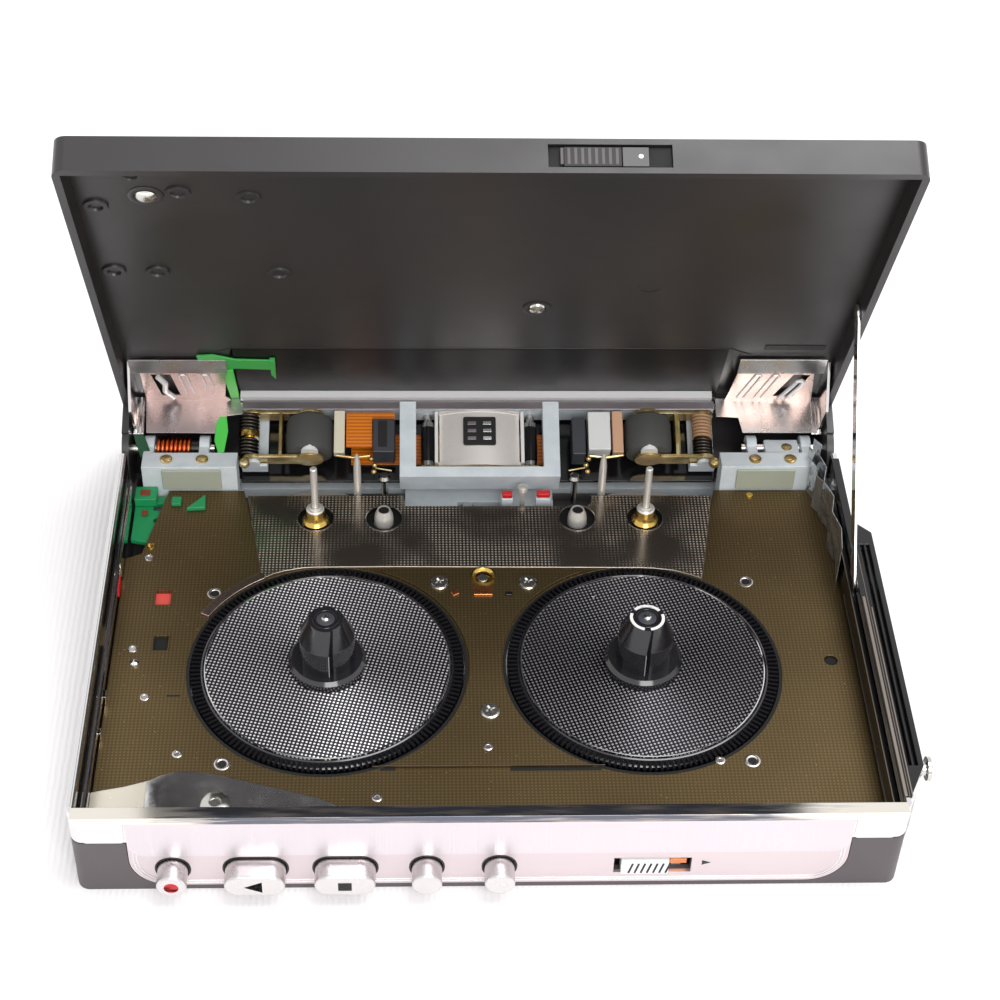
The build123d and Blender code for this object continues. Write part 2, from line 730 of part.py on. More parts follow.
for name, x, length, height in front_controls:
    with BuildPart() as button:
        with BuildSketch(facing(front + panel_thickness + wall)) as cap:
            pill(x, control_z, length, height)
        extrude(cap.sketch, amount=panel_thickness + wall + button_proud)
        fillet(button.faces().sort_by(Axis.Y)[0].edges(), radius=0.4)
        cylinder(facing(well_front + stem_reach), x, control_z, 0.8, stem_reach + wall)
    button.part.label = name
    export_step(button.part, f"parts/{name}.step")

with BuildPart() as lock_slider:
    block(facing(well_front + 0.9), lock_x - lock_foot_half, lock_x + lock_foot_half,
          control_z - lock_foot_height / 2, control_z + lock_foot_height / 2, 0.7)
    knob_left = lock_x + lock_knob_offset - lock_knob_length / 2
    block(facing(well_front + 0.3), knob_left, knob_left + lock_knob_length,
          control_z - lock_slot_height / 2 + button_clearance, control_z + lock_slot_height / 2 - button_clearance,
          wall + 0.7)
lock_slider.part.label = "lock_slider"
export_step(lock_slider.part, "parts/lock_slider.step")

# Red record-safety slide, seen through its window in the mechanism plate
with BuildPart() as safety_slide:
    block(level(plate_bottom - 0.75), -well_side + 0.7, window_x + 1.6, window_y - 1.8, window_y + 1.8, 0.6)
safety_slide.part.label = "safety_slide"
export_step(safety_slide.part, "parts/safety_slide.step")

# Green lever under the plate's cut-away corner
with BuildPart() as green_lever:
    with BuildSketch(Plane((-well_side + 0.8, head_plate_rear - 0.4, plate_bottom - 0.9))):
        Polygon((0, -9.0), (4.0, -10.0), (5.8, -7.6), (11.6, -7.6), (13.8, -4.6), (13.8, 0), (0, 0), align=None)
        with Locations((3.6, -2.2)):
            Rectangle(1.8, 1.4, mode=Mode.SUBTRACT)
        with Locations((3.4, -5.0)):
            Circle(0.5, mode=Mode.SUBTRACT)
    extrude(amount=0.7)
green_lever.part.label = "green_lever"
export_step(green_lever.part, "parts/green_lever.step")

# Lid

bracket_front = hinge_y - 11.7
recess_front = bracket_front - 6.0
recess_rear = bracket_front + 8.8
recess_half_front = 35.5
recess_half_rear = 38.5
spine_end_angle = 38.0

with BuildPart() as lid_shell:
    with BuildSketch(level(frame_top, lid=True)):
        RectangleRounded(case_width, case_depth, corner_radius)
    extrude(amount=closed_height - frame_top)
    block(level(frame_top, lid=True), -well_side, well_side, well_front, rear - spine_wall,
          lid_inside - frame_top, mode=Mode.SUBTRACT)
    with BuildSketch(level(lid_inside - 1, lid=True)) as recess:
        Polygon((-recess_half_front, recess_front), (recess_half_front, recess_front),
                (recess_half_rear, recess_rear), (-recess_half_rear, recess_rear), align=None)
    extrude(recess.sketch, amount=1 + lid_recess_depth, mode=Mode.SUBTRACT)
    # Spine along the hinge, rolled in under its own radius
    with BuildSketch(beside(-half_width, lid=True)) as spine:
        with Locations((hinge_y, hinge_z)):
            Circle(spine_radius)
            Circle(spine_radius - spine_wall, mode=Mode.SUBTRACT)
        end_y = hinge_y + 3 * spine_radius * cos(radians(spine_end_angle))
        end_z = hinge_z - 3 * spine_radius * sin(radians(spine_end_angle))
        Polygon((hinge_y, hinge_z), (end_y, end_z), (end_y, hinge_z), align=None, mode=Mode.INTERSECT)
    extrude(spine.sketch, amount=case_width)
    block(facing(rear, lid=True), -half_width, half_width, hinge_z, frame_top + 1, spine_wall)
    # Ears that carry the lid on the hinge pins
    for side in (-1, 1):
        start = -half_width if side < 0 else half_width - side_wall
        with BuildSketch(beside(start, lid=True)) as ear:
            with Locations((hinge_y, hinge_z)):
                Circle(spine_radius)
            with Locations(((ear_front + rear) / 2, (hinge_z + frame_top + 1) / 2)):
                Rectangle(rear - ear_front, frame_top + 1 - hinge_z)
        extrude(ear.sketch, amount=side_wall)
        cylinder(beside(start - 1, lid=True), hinge_y, hinge_z, hinge_pin_radius + pin_clearance,
                 side_wall + 2, mode=Mode.SUBTRACT)
    # Seat of the latch knob in the front lip
    block(facing(front + latch_depth, lid=True), latch_centre - latch_length / 2,
          latch_centre + latch_length / 2, latch_low, latch_high, latch_depth, mode=Mode.SUBTRACT)
    block(facing(well_front + gap, lid=True), bolt_left - latch_clearance,
          bolt_right + latch_travel + latch_clearance, bolt_low - latch_clearance, bolt_high + latch_clearance,
          wall, mode=Mode.SUBTRACT)
lid_shell.part.label = "lid_shell"
export_step(lid_shell.part, "parts/lid_shell.step")

with BuildPart() as latch_slider:
    block(facing(front + latch_depth - 0.1, lid=True), latch_centre - 5.6, latch_centre - 5.6 + latch_knob_length,
          latch_low + latch_clearance, latch_high - latch_clearance, latch_depth - 0.2)
    # Bolt that goes through the lip to the catch
    block(facing(front + latch_depth - 0.1 + bolt_depth, lid=True), bolt_left, bolt_right, bolt_low, bolt_high,
          bolt_depth)
latch_slider.part.label = "latch_slider"
export_step(latch_slider.part, "parts/latch_slider.step")

stay_x = stay_inside - stay_thickness
lid_screw_places = [(-half_width + 9.7, front + 11.3, 1.2), (7.2, front + 41.3, 1.6)]
with BuildPart() as lid_fasteners:
    for x, y, radius in lid_screw_places:
        cylinder(level(lid_inside - 0.5, lid=True), x, y, radius, 0.5)
    # Rivet that the stay turns on
    cylinder(beside(stay_x - 0.3, lid=True), stay_pivot_y, stay_pivot_z, 0.6, well_side - stay_x + 0.3)
    cylinder(beside(stay_x - 0.35, lid=True), stay_pivot_y, stay_pivot_z, 1.1, 0.3)
lid_fasteners.part.label = "lid_fasteners"
export_step(lid_fasteners.part, "parts/lid_fasteners.step")

# Strap that holds the lid at its open stop
pivot_open = opened(stay_pivot_y, stay_pivot_z)
with BuildPart() as lid_stay:
    reach = hypot(stay_end_y - pivot_open[0], stay_end_z - pivot_open[1])
    slope = degrees(atan2(stay_end_z - pivot_open[1], stay_end_y - pivot_open[0]))
    with BuildSketch(beside(stay_x)):
        with Locations(((pivot_open[0] + stay_end_y) / 2, (pivot_open[1] + stay_end_z) / 2)):
            SlotCenterToCenter(reach, stay_width, rotation=slope)
        with Locations(pivot_open):
            Circle(0.65, mode=Mode.SUBTRACT)
    extrude(amount=stay_thickness)
lid_stay.part.label = "lid_stay"
export_step(lid_stay.part, "parts/lid_stay.step")

# Spring-sheet brackets at the lid's rear corners, over the cassette's corners
bracket_sheet = 0.3
bracket_outer = well_side - 0.6
bracket_inner = bracket_outer - 12.8
bracket_lip = bracket_front - 3.4
bracket_rear = bracket_front + 9.4
bracket_level = 17.2
bracket_low = 12.5
with BuildPart() as holder_brackets:
    for side in (-1, 1):
        low, high = sorted((side * bracket_inner, side * bracket_outer))
        face_low, face_high = sorted((side * (bracket_inner - 2.2), side * (bracket_outer - 3.4)))
        block(level(bracket_level, lid=True), low, high, bracket_front, bracket_rear, bracket_sheet)
        prism(beside(low, lid=True), [(bracket_front, bracket_level), (bracket_front, bracket_level + bracket_sheet),
                                      (bracket_lip, lid_inside - 0.05), (bracket_lip, lid_inside - 0.35)],
              high - low)
        block(facing(bracket_rear, lid=True), face_low, face_high, bracket_low, bracket_level + bracket_sheet,
              bracket_sheet)
        # Leg that carries the bracket from the lid
        block(level(bracket_level, lid=True), low + 2, high - 2, bracket_rear - 2.0, bracket_rear,
              lid_inside - bracket_level)
        for tongue in range(3):
            x = side * (bracket_inner + 3.0 + 3.4 * tongue)
            block(level(bracket_level - 1, lid=True), x - 0.75, x + 0.75, bracket_front + 1.8,
                  bracket_front + 6.6, 2, mode=Mode.SUBTRACT)
            block(level(bracket_level - 0.15, lid=True), x - 0.4, x + 0.4, bracket_front + 2.6,
                  bracket_front + 6.8, bracket_sheet)
holder_brackets.part.label = "holder_brackets"
export_step(holder_brackets.part, "parts/holder_brackets.step")

# Base plate of the head group, on the lid
base_front = carriage_front + 0.4
base_rear = carriage_front + 6.4
base_thickness = 0.6
base_half = block_inner - 0.2
back_low = 6.0
with BuildPart() as head_base:
    block(level(lid_inside - base_thickness, lid=True), -base_half, base_half, base_front, base_rear, base_thickness)
    block(facing(base_rear, lid=True), -base_half, base_half, back_low, lid_inside, base_thickness)
    # Bright rail along the front edge
    block(facing(base_front, lid=True), -base_half, base_half, lid_inside - 1.1, lid_inside, 0.5)
head_base.part.label = "head_base"
export_step(head_base.part, "parts/head_base.step")

# Carriage that slides towards the reels in play
yoke_rear = carriage_front + yoke_depth
with BuildPart() as carriage_frame:
    block(level(carriage_top - carriage_plate, lid=True), -carriage_half, carriage_half,
          carriage_front + 0.6, carriage_rear, carriage_plate)
    block(facing(yoke_rear, lid=True), -yoke_half, yoke_half, yoke_bottom, yoke_bottom + yoke_bar, yoke_depth)
    for side in (-1, 1):
        inner, outer = sorted((side * (yoke_half - yoke_arm), side * yoke_half))
        block(facing(yoke_rear, lid=True), inner, outer, yoke_bottom, carriage_top, yoke_depth)
    # Floor that carries the head, and feet under the arms' pins
    block(level(yoke_bottom, lid=True), -yoke_half, yoke_half, yoke_rear, carriage_rear, 0.9)
    for side in (-1, 1):
        low, high = sorted((side * (arm_pivot_x - 2.0), side * (arm_pivot_x + 1.8)))
        block(level(arm_foot_bottom, lid=True), low, high, arm_pivot_y + 0.6, carriage_rear, arm_foot_thickness)
        block(facing(carriage_rear, lid=True), low, high, arm_foot_bottom, carriage_top, 0.7)
        cylinder(level(arm_foot_bottom, lid=True), side * arm_pivot_x, arm_pivot_y, arm_foot_radius,
                 arm_foot_thickness)
        cylinder(level(arm_foot_bottom, lid=True), side * arm_pivot_x, arm_pivot_y, arm_pin_radius,
                 carriage_top - carriage_plate - arm_foot_bottom)
carriage_frame.part.label = "carriage_frame"
export_step(carriage_frame.part, "parts/carriage_frame.step")

with BuildPart() as tape_head:
    # Crowned front on a square body
    crown_y = carriage_front + 0.4
    with BuildSketch(level(head_bottom, lid=True)):
        with Locations((0, crown_y + head_crown)):
            Circle(head_crown)
        with Locations((0, crown_y + head_depth / 2)):
            Rectangle(2 * head_half, head_depth, mode=Mode.INTERSECT)
    extrude(amount=head_top - head_bottom)
tape_head.part.label = "tape_head"
export_step(tape_head.part, "parts/tape_head.step")

with BuildPart() as tape_guides:
    for side in (-1, 1):
        x = side * guide_post_x
        cylinder(level(yoke_bottom + 0.9, lid=True), x, carriage_rear - 1.6, 0.62,
                 carriage_top - carriage_plate - yoke_bottom - 0.9)
        cylinder(level(head_bottom + 1.6, lid=True), x, carriage_rear - 1.6, 0.95, 6.0)
    # Strip under the head that joins the two posts
    block(level(yoke_bottom + yoke_bar + 0.05, lid=True), -head_half - 2.6, head_half + 2.6,
          carriage_front + 0.5, carriage_rear - 1.2, 0.3)
tape_guides.part.label = "tape_guides"
export_step(tape_guides.part, "parts/tape_guides.step")

# Moulded blocks and columns between the head and the rollers
terminal_places = [(-14.1, 1.6, 6.9, 13.2, 4.2), (14.5, 1.1, 6.9, 13.2, 4.2), (17.9, 1.6, 7.0, 14.6, 3.3),
                   (-20.0, 0.9, 7.0, 14.6, 1.6)]
with BuildPart() as terminal_blocks:
    for x, half, low, high, depth in terminal_places:
        block(facing(carriage_rear, lid=True), x - half, x + half, low, high, depth)
        block(facing(carriage_rear, lid=True), x - half, x + half, high, carriage_top - carriage_plate, 1.5)
terminal_blocks.part.label = "terminal_blocks"
export_step(terminal_blocks.part, "parts/terminal_blocks.step")

# Flat flexible cable behind the left roller and the head
with BuildPart() as flex_cable:
    block(facing(base_rear - base_thickness - 0.1, lid=True), -19.0, 10.0, 8.6, 13.4, 0.25)
flex_cable.part.label = "flex_cable"
export_step(flex_cable.part, "parts/flex_cable.step")

for name, side in (("left", -1), ("right", 1)):
    pivot = (side * arm_pivot_x, arm_pivot_y)
    axle = (side * roller_x, roller_y)
    with BuildPart() as pinch_arm:
        # Upper and lower cheeks joined by a web behind the roller
        for z in (arm_bottom, arm_top - arm_sheet):
            with BuildSketch(level(z, lid=True)) as cheek:
                with Locations(pivot):
                    Circle(1.7)
                with Locations(axle):
                    Circle(2.1)
                with Locations(((pivot[0] + axle[0]) / 2, (pivot[1] + axle[1]) / 2)):
                    Rectangle(arm_pivot_x - roller_x, 2.6)
                with Locations(pivot):
                    Circle(arm_pin_radius + 0.05, mode=Mode.SUBTRACT)
            extrude(cheek.sketch, amount=arm_sheet)
        web_low, web_high = sorted((side * (roller_x + 4.0), side * (roller_x + 4.5)))
        block(level(arm_bottom, lid=True), web_low, web_high, roller_y - 1.2, roller_y + 1.4, arm_top - arm_bottom)
        cylinder(level(arm_bottom, lid=True), axle[0], axle[1], axle_radius, arm_top - arm_bottom)
    pinch_arm.part.label = f"pinch_arm_{name}"
    export_step(pinch_arm.part, f"parts/pinch_arm_{name}.step")

    with BuildPart() as pinch_roller:
        cylinder(level(roller_bottom, lid=True), axle[0], axle[1], roller_radius, roller_top - arm_sheet - 0.2 - roller_bottom)
        fillet(pinch_roller.edges(), radius=0.5)
        cylinder(level(roller_bottom - 1, lid=True), axle[0], axle[1], axle_radius + 0.05, closed_height,
                 mode=Mode.SUBTRACT)
    pinch_roller.part.label = f"pinch_roller_{name}"
    export_step(pinch_roller.part, f"parts/pinch_roller_{name}.step")

# Coiled springs on the arms' pins
with BuildPart() as arm_springs:
    for side in (-1, 1):
        x = side * arm_pivot_x
        cylinder(level(arm_bottom + arm_sheet + 0.2, lid=True), x, arm_pivot_y, 1.7,
                 arm_top - arm_bottom - 2 * arm_sheet - 0.4)
        cylinder(level(arm_bottom, lid=True), x, arm_pivot_y, arm_pin_radius + 0.06, closed_height,
                 mode=Mode.SUBTRACT)
arm_springs.part.label = "arm_springs"
export_step(arm_springs.part, "parts/arm_springs.step")
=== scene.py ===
import json
import math
import bmesh
import bpy
from mathutils import Matrix, Vector
from mathutils.geometry import tessellate_polygon

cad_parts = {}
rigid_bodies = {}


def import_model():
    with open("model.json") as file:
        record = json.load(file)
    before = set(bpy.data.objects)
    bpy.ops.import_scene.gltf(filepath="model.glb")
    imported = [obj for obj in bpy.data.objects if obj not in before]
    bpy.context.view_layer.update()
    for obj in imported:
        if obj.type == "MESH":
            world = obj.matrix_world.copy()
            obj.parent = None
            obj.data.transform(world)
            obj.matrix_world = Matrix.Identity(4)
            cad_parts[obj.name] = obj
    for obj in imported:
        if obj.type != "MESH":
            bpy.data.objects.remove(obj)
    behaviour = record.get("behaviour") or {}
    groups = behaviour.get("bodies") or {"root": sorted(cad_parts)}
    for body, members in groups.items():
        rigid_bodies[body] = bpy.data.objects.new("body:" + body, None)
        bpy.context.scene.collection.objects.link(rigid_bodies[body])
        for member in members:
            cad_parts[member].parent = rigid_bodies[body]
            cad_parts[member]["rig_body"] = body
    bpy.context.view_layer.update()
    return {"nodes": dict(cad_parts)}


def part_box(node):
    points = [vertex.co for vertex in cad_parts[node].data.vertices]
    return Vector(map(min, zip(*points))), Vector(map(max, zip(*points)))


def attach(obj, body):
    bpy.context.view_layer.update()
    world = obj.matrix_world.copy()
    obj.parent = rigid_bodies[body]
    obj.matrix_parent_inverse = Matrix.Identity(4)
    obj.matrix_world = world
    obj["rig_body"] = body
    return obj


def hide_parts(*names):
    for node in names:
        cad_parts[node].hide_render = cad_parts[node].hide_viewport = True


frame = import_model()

# Looks of the portable cassette recorder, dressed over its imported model. Shapes are drawn in
# millimetres in the model's own frame. A piece of the lid is drawn where it is with the lid
# shut, and LID carries it to the open pose.
MM = 0.001
HINGE_Y, HINGE_Z = 33.3, 10.3
HINGE = Vector((0.0, HINGE_Y, HINGE_Z))
LID_TURN = math.radians(-65.0)
LID = Matrix.Translation(HINGE) @ Matrix.Rotation(LID_TURN, 4, "X") @ Matrix.Translation(-HINGE)
# Places that several pieces share: the reels, the row of capstans and locating pins, the keys,
# and the tops of the mechanism plate and of the raised plate on it
REEL_X, REEL_Y = 21.25, -7.9
CAPSTAN_X, LOCATING_X, PIN_ROW_Y = 23.85, 14.0, 20.9
KEY_Z = 4.1
PLATE_TOP, CENTRE_TOP = 7.6, 8.0
# Places on the lid while it is shut: its inside, the arms' pins, the rollers and the guide posts
LID_INSIDE = 18.0
ARM_LEFT_X, ARM_RIGHT_X, ARM_Y = -33.9, 33.1, 31.9
ROLLER_X, ROLLER_Y = 25.0, 32.0
GUIDE_X, GUIDE_Y = 7.6, 33.4
# Edges that bend by more than this many degrees stay sharp
SHARP = 38


# Drawing in millimetres

def at(x, y, z, axis="z"):
    """Place for a shape drawn along local z, turned to point up, to the front or to the right."""
    turn = {"z": Matrix.Identity(4), "front": Matrix.Rotation(math.pi / 2, 4, "X"),
            "right": Matrix.Rotation(math.pi / 2, 4, "Y"), "down": Matrix.Rotation(math.pi, 4, "X")}[axis]
    return Matrix.Translation((x, y, z)) @ turn


def block(bm, x, y, z, place=None):
    """Adds a box between two places on each axis."""
    corners = [bm.verts.new((x[i & 1], y[i >> 1 & 1], z[i >> 2])) for i in range(8)]
    for a, b, c, d in ((0, 2, 3, 1), (4, 5, 7, 6), (0, 1, 5, 4), (2, 6, 7, 3), (0, 4, 6, 2), (1, 3, 7, 5)):
        bm.faces.new((corners[a], corners[b], corners[c], corners[d]))
    if place:
        bmesh.ops.transform(bm, matrix=place, verts=corners)


def plate(bm, outline, z, holes=(), place=None):
    """Adds a flat sheet with a cut outline and holes, between two levels."""
    loops = [list(outline), *map(list, holes)]
    points = [p for loop in loops for p in loop]
    lower = [bm.verts.new((p[0], p[1], z[0])) for p in points]
    upper = [bm.verts.new((p[0], p[1], z[1])) for p in points]
    for a, b, c in tessellate_polygon([[Vector((p[0], p[1], 0)) for p in loop] for loop in loops]):
        bm.faces.new((upper[a], upper[b], upper[c]))
        bm.faces.new((lower[c], lower[b], lower[a]))
    first = 0
    for loop in loops:
        for i in range(len(loop)):
            a, b = first + i, first + (i + 1) % len(loop)
            bm.faces.new((lower[a], lower[b], upper[b], upper[a]))
        first += len(loop)
    if place:
        bmesh.ops.transform(bm, matrix=place, verts=lower + upper)


def turned(bm, profile, place, sides=40, closed=False, start=0.0):
    """Adds a shape turned on a lathe from radius and height pairs; a closed profile makes a ring."""
    rings = []
    for radius, height in profile:
        count = 1 if radius == 0 else sides
        rings.append([bm.verts.new(place @ Vector((
            radius * math.cos(start + 2 * math.pi * i / sides),
            radius * math.sin(start + 2 * math.pi * i / sides), height))) for i in range(count)])
    pairs = list(zip(rings, rings[1:])) + ([(rings[-1], rings[0])] if closed else [])
    for a, b in pairs:
        for i in range(sides):
            j = i + 1
            corners = [a[i % len(a)], a[j % len(a)], b[j % len(b)], b[i % len(b)]]
            corners = list(dict.fromkeys(corners))
            if len(corners) > 2:
                bm.faces.new(corners)
    if not closed:
        for ring in (rings[0][::-1], rings[-1]):
            if len(ring) > 1:
                bm.faces.new(ring)


def lofted(bm, sections):
    """Adds a closed skin through outlines that have the same number of points."""
    rings = [[bm.verts.new(p) for p in section] for section in sections]
    for a, b in zip(rings, rings[1:]):
        for i in range(len(a)):
            j = (i + 1) % len(a)
            bm.faces.new((a[i], a[j], b[j], b[i]))
    bm.faces.new(rings[0][::-1])
    bm.faces.new(rings[-1])


def tube(bm, points, radius, sides=8, closed=False):
    """Adds a round wire along a line of points."""
    points = [Vector(p) for p in points]
    count = len(points)
    rings = []
    across = None
    for i, p in enumerate(points):
        after = points[(i + 1) % count] if closed or i < count - 1 else p
        before = points[i - 1] if closed or i else p
        along = (after - before).normalized()
        if across is None:
            across = along.orthogonal().normalized()
        across = (across - along * across.dot(along)).normalized()
        other = along.cross(across)
        rings.append([bm.verts.new(p + radius * (across * math.cos(2 * math.pi * k / sides)
                                                 + other * math.sin(2 * math.pi * k / sides)))
                      for k in range(sides)])
    pairs = list(zip(rings, rings[1:])) + ([(rings[-1], rings[0])] if closed else [])
    for a, b in pairs:
        for k in range(sides):
            j = (k + 1) % sides
            bm.faces.new((a[k], a[j], b[j], b[k]))
    if not closed:
        bm.faces.new(rings[0][::-1])
        bm.faces.new(rings[-1])


# Places for an outline drawn in the side view and in the front view
SIDE = Matrix(((0, 0, 1, 0), (1, 0, 0, 0), (0, 1, 0, 0), (0, 0, 0, 1)))
FRONT = at(0, 0, 0, "front")


def bent(bm, side, reach, thick, place=SIDE):
    """Adds a strip of sheet bent along a line of points: a side profile of (y, z) between two x."""
    line = [Vector(p) for p in side]
    offset = []
    for i, p in enumerate(line):
        before = (p - line[i - 1]).normalized() if i else None
        after = (line[i + 1] - p).normalized() if i < len(line) - 1 else None
        along = ((before or after) + (after or before)).normalized()
        normal = Vector((-along.y, along.x))
        depth = thick / max(0.5, normal.dot(Vector((-(after or before).y, (after or before).x))))
        offset.append(p + normal * depth)
    plate(bm, line + offset[::-1], reach, place=place)


def circle(x, y, radius, count=24):
    """Points of a circle."""
    return [(x + radius * math.cos(2 * math.pi * i / count),
             y + radius * math.sin(2 * math.pi * i / count)) for i in range(count)]


def rounded(x, y, radius, steps=5):
    """Points of a rectangle with round corners; the radius may differ from lower to upper corners."""
    low, high = radius if isinstance(radius, tuple) else (radius, radius)
    points = []
    for cx, cy, start, r in ((x[1] - low, y[0] + low, -90, low), (x[1] - high, y[1] - high, 0, high),
                             (x[0] + high, y[1] - high, 90, high), (x[0] + low, y[0] + low, 180, low)):
        for i in range(steps + 1):
            a = math.radians(start + 90 * i / steps)
            points.append((cx + r * math.cos(a), cy + r * math.sin(a)))
    return points


def sector(x, y, inner, outer, start, end, count=16):
    """Points of a part of a flat ring, between two angles in degrees."""
    turns = [math.radians(start + (end - start) * i / count) for i in range(count + 1)]
    return ([(x + outer * math.cos(a), y + outer * math.sin(a)) for a in turns]
            + [(x + inner * math.cos(a), y + inner * math.sin(a)) for a in reversed(turns)])


def cross(x, y, reach, arm, turn=0.0):
    """Points of a screwdriver's cross."""
    points = []
    for k in range(4):
        c, s = math.cos(turn + k * math.pi / 2), math.sin(turn + k * math.pi / 2)
        for u, v in ((arm, -arm), (reach, -arm), (reach, arm)):
            points.append((x + u * c - v * s, y + u * s + v * c))
    return points


def settled(piece):
    """Turns a piece's modifiers into its plain mesh."""
    shapes = bpy.context.evaluated_depsgraph_get()
    mesh = bpy.data.meshes.new_from_object(piece.evaluated_get(shapes))
    piece.modifiers.clear()
    piece.data = mesh


def dress(piece, finish, body, edge, stands_for):
    """Rounds a piece's edges, gives it its finish and hangs it on its body."""
    if edge:
        bevel = piece.modifiers.new("edge", "BEVEL")
        bevel.width = edge * MM
        bevel.segments = 2
        bevel.limit_method = "ANGLE"
        bevel.angle_limit = math.radians(SHARP)
        bevel.harden_normals = True
        settled(piece)
    piece.data.materials.clear()
    piece.data.materials.append(finish)
    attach(piece, body)
    if stands_for:
        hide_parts(*stands_for)
    return piece


def as_object(name, bm, soft=SHARP):
    """Makes an object of a drawn mesh: smooth, but for its sharp lines."""
    for face in bm.faces:
        face.smooth = True
    for line in bm.edges:
        line.smooth = line.calc_face_angle(math.pi) < math.radians(soft)
    mesh = bpy.data.meshes.new(name)
    bm.to_mesh(mesh)
    bm.free()
    piece = bpy.data.objects.new(name, mesh)
    bpy.context.scene.collection.objects.link(piece)
    return piece


def shape(name, bm, finish, body, lid=False, edge=0.0, stands_for=(), soft=SHARP):
    """Makes a piece of what was drawn in millimetres."""
    bmesh.ops.recalc_face_normals(bm, faces=bm.faces)
    bm.transform(Matrix.Scale(MM, 4) @ (LID if lid else Matrix.Identity(4)))
    return dress(as_object(name, bm, soft), finish, body, edge, stands_for)


def carried(node, finish, edge=0.12):
    """Takes a CAD piece over as it is, its loose triangles joined and its edges softened."""
    bm = bmesh.new()
    bm.from_mesh(frame["nodes"][node].data)
    bmesh.ops.remove_doubles(bm, verts=bm.verts, dist=0.002 * MM)
    bmesh.ops.dissolve_limit(bm, angle_limit=math.radians(1), verts=bm.verts, edges=bm.edges)
    return dress(as_object(node + "_finished", bm), finish, frame["nodes"][node]["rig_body"],
                 edge, (node,))


# Node trees that repeat a shape

def add(tree, kind, settings=None, links=None, into=None):
    """Adds a node: settings are its properties and input values, links feed its inputs, and into is fed
    by its first output."""
    node = tree.nodes.new(kind)
    for key, value in (settings or {}).items():
        if isinstance(key, str) and hasattr(node, key):
            setattr(node, key, value)
        else:
            node.inputs[key].default_value = value
    for key, source in (links or {}).items():
        tree.links.new(source.outputs[0] if isinstance(source, bpy.types.Node) else source,
                       node.inputs[key])
    if into:
        tree.links.new(node.outputs[0], into)
    return node


def new_tree(name, sizes):
    """Starts a geometry tree with named sizes; each is a float unless its name says count or object."""
    tree = bpy.data.node_groups.new(name, "GeometryNodeTree")
    tree.interface.new_socket("Geometry", in_out="INPUT", socket_type="NodeSocketGeometry")
    kinds = {"count": "NodeSocketInt", "object": "NodeSocketObject", "finish": "NodeSocketMaterial",
             "place": "NodeSocketVector", "turn": "NodeSocketVector"}
    for size in sizes:
        kind = kinds.get(size.split()[-1], "NodeSocketFloat")
        tree.interface.new_socket(size, in_out="INPUT", socket_type=kind)
    tree.interface.new_socket("Geometry", in_out="OUTPUT", socket_type="NodeSocketGeometry")
    return tree, tree.nodes.new("NodeGroupInput"), tree.nodes.new("NodeGroupOutput")


def grown(name, tree, sizes, finish, body, base=None, stands_for=()):
    """Runs a geometry tree into a plain mesh and hangs the piece on its body."""
    mesh = base or bpy.data.meshes.new(name)
    piece = bpy.data.objects.new(name, mesh)
    bpy.context.scene.collection.objects.link(piece)
    modifier = piece.modifiers.new("grow", "NODES")
    modifier.node_group = tree
    given = dict(sizes, **{"the finish": finish})
    for socket in tree.interface.items_tree:
        if socket.in_out == "INPUT" and socket.name in given:
            modifier[socket.identifier] = given[socket.name]
    settled(piece)
    return dress(piece, finish, body, 0.0, stands_for)


# Teeth round a wheel: a box at each of a circle's points, turned to face outwards
teeth_tree, wanted, result = new_tree("teeth round a wheel", [
    "teeth count", "wheel radius", "tooth length", "tooth width", "tooth height", "wheel place",
    "the finish"])
wheel = add(teeth_tree, "GeometryNodeMeshCircle", {"fill_type": "NONE"},
            {"Vertices": wanted.outputs["teeth count"], "Radius": wanted.outputs["wheel radius"]})
tooth_size = add(teeth_tree, "ShaderNodeCombineXYZ", {}, {
    "X": wanted.outputs["tooth length"], "Y": wanted.outputs["tooth width"],
    "Z": wanted.outputs["tooth height"]})
tooth = add(teeth_tree, "GeometryNodeMeshCube", {}, {"Size": tooth_size})
outward = add(teeth_tree, "FunctionNodeAlignRotationToVector", {"axis": "X"},
              {"Vector": add(teeth_tree, "GeometryNodeInputPosition")})
set_round = add(teeth_tree, "GeometryNodeInstanceOnPoints", {}, {
    "Points": wheel, "Instance": tooth, "Rotation": outward})
teeth_real = add(teeth_tree, "GeometryNodeRealizeInstances", {}, {"Geometry": set_round})
teeth_placed = add(teeth_tree, "GeometryNodeTransform", {}, {
    "Geometry": teeth_real, "Translation": wanted.outputs["wheel place"]})
add(teeth_tree, "GeometryNodeSetMaterial", {}, {
    "Geometry": teeth_placed, "Material": wanted.outputs["the finish"]}, into=result.inputs["Geometry"])

# A row of ribs: boxes along a line, each leaning by the same turn
ribs_tree, wanted, result = new_tree("row of ribs", [
    "ribs count", "rib place", "step place", "rib size place", "rib turn", "the finish"])
row = add(ribs_tree, "GeometryNodeMeshLine", {}, {
    "Count": wanted.outputs["ribs count"], "Start Location": wanted.outputs["rib place"],
    "Offset": wanted.outputs["step place"]})
rib = add(ribs_tree, "GeometryNodeMeshCube", {}, {"Size": wanted.outputs["rib size place"]})
lean = add(ribs_tree, "FunctionNodeEulerToRotation", {}, {"Euler": wanted.outputs["rib turn"]})
ribs_set = add(ribs_tree, "GeometryNodeInstanceOnPoints", {},
               {"Points": row, "Instance": rib, "Rotation": lean})
ribs_real = add(ribs_tree, "GeometryNodeRealizeInstances", {}, {"Geometry": ribs_set})
add(ribs_tree, "GeometryNodeSetMaterial", {}, {
    "Geometry": ribs_real, "Material": wanted.outputs["the finish"]}, into=result.inputs["Geometry"])

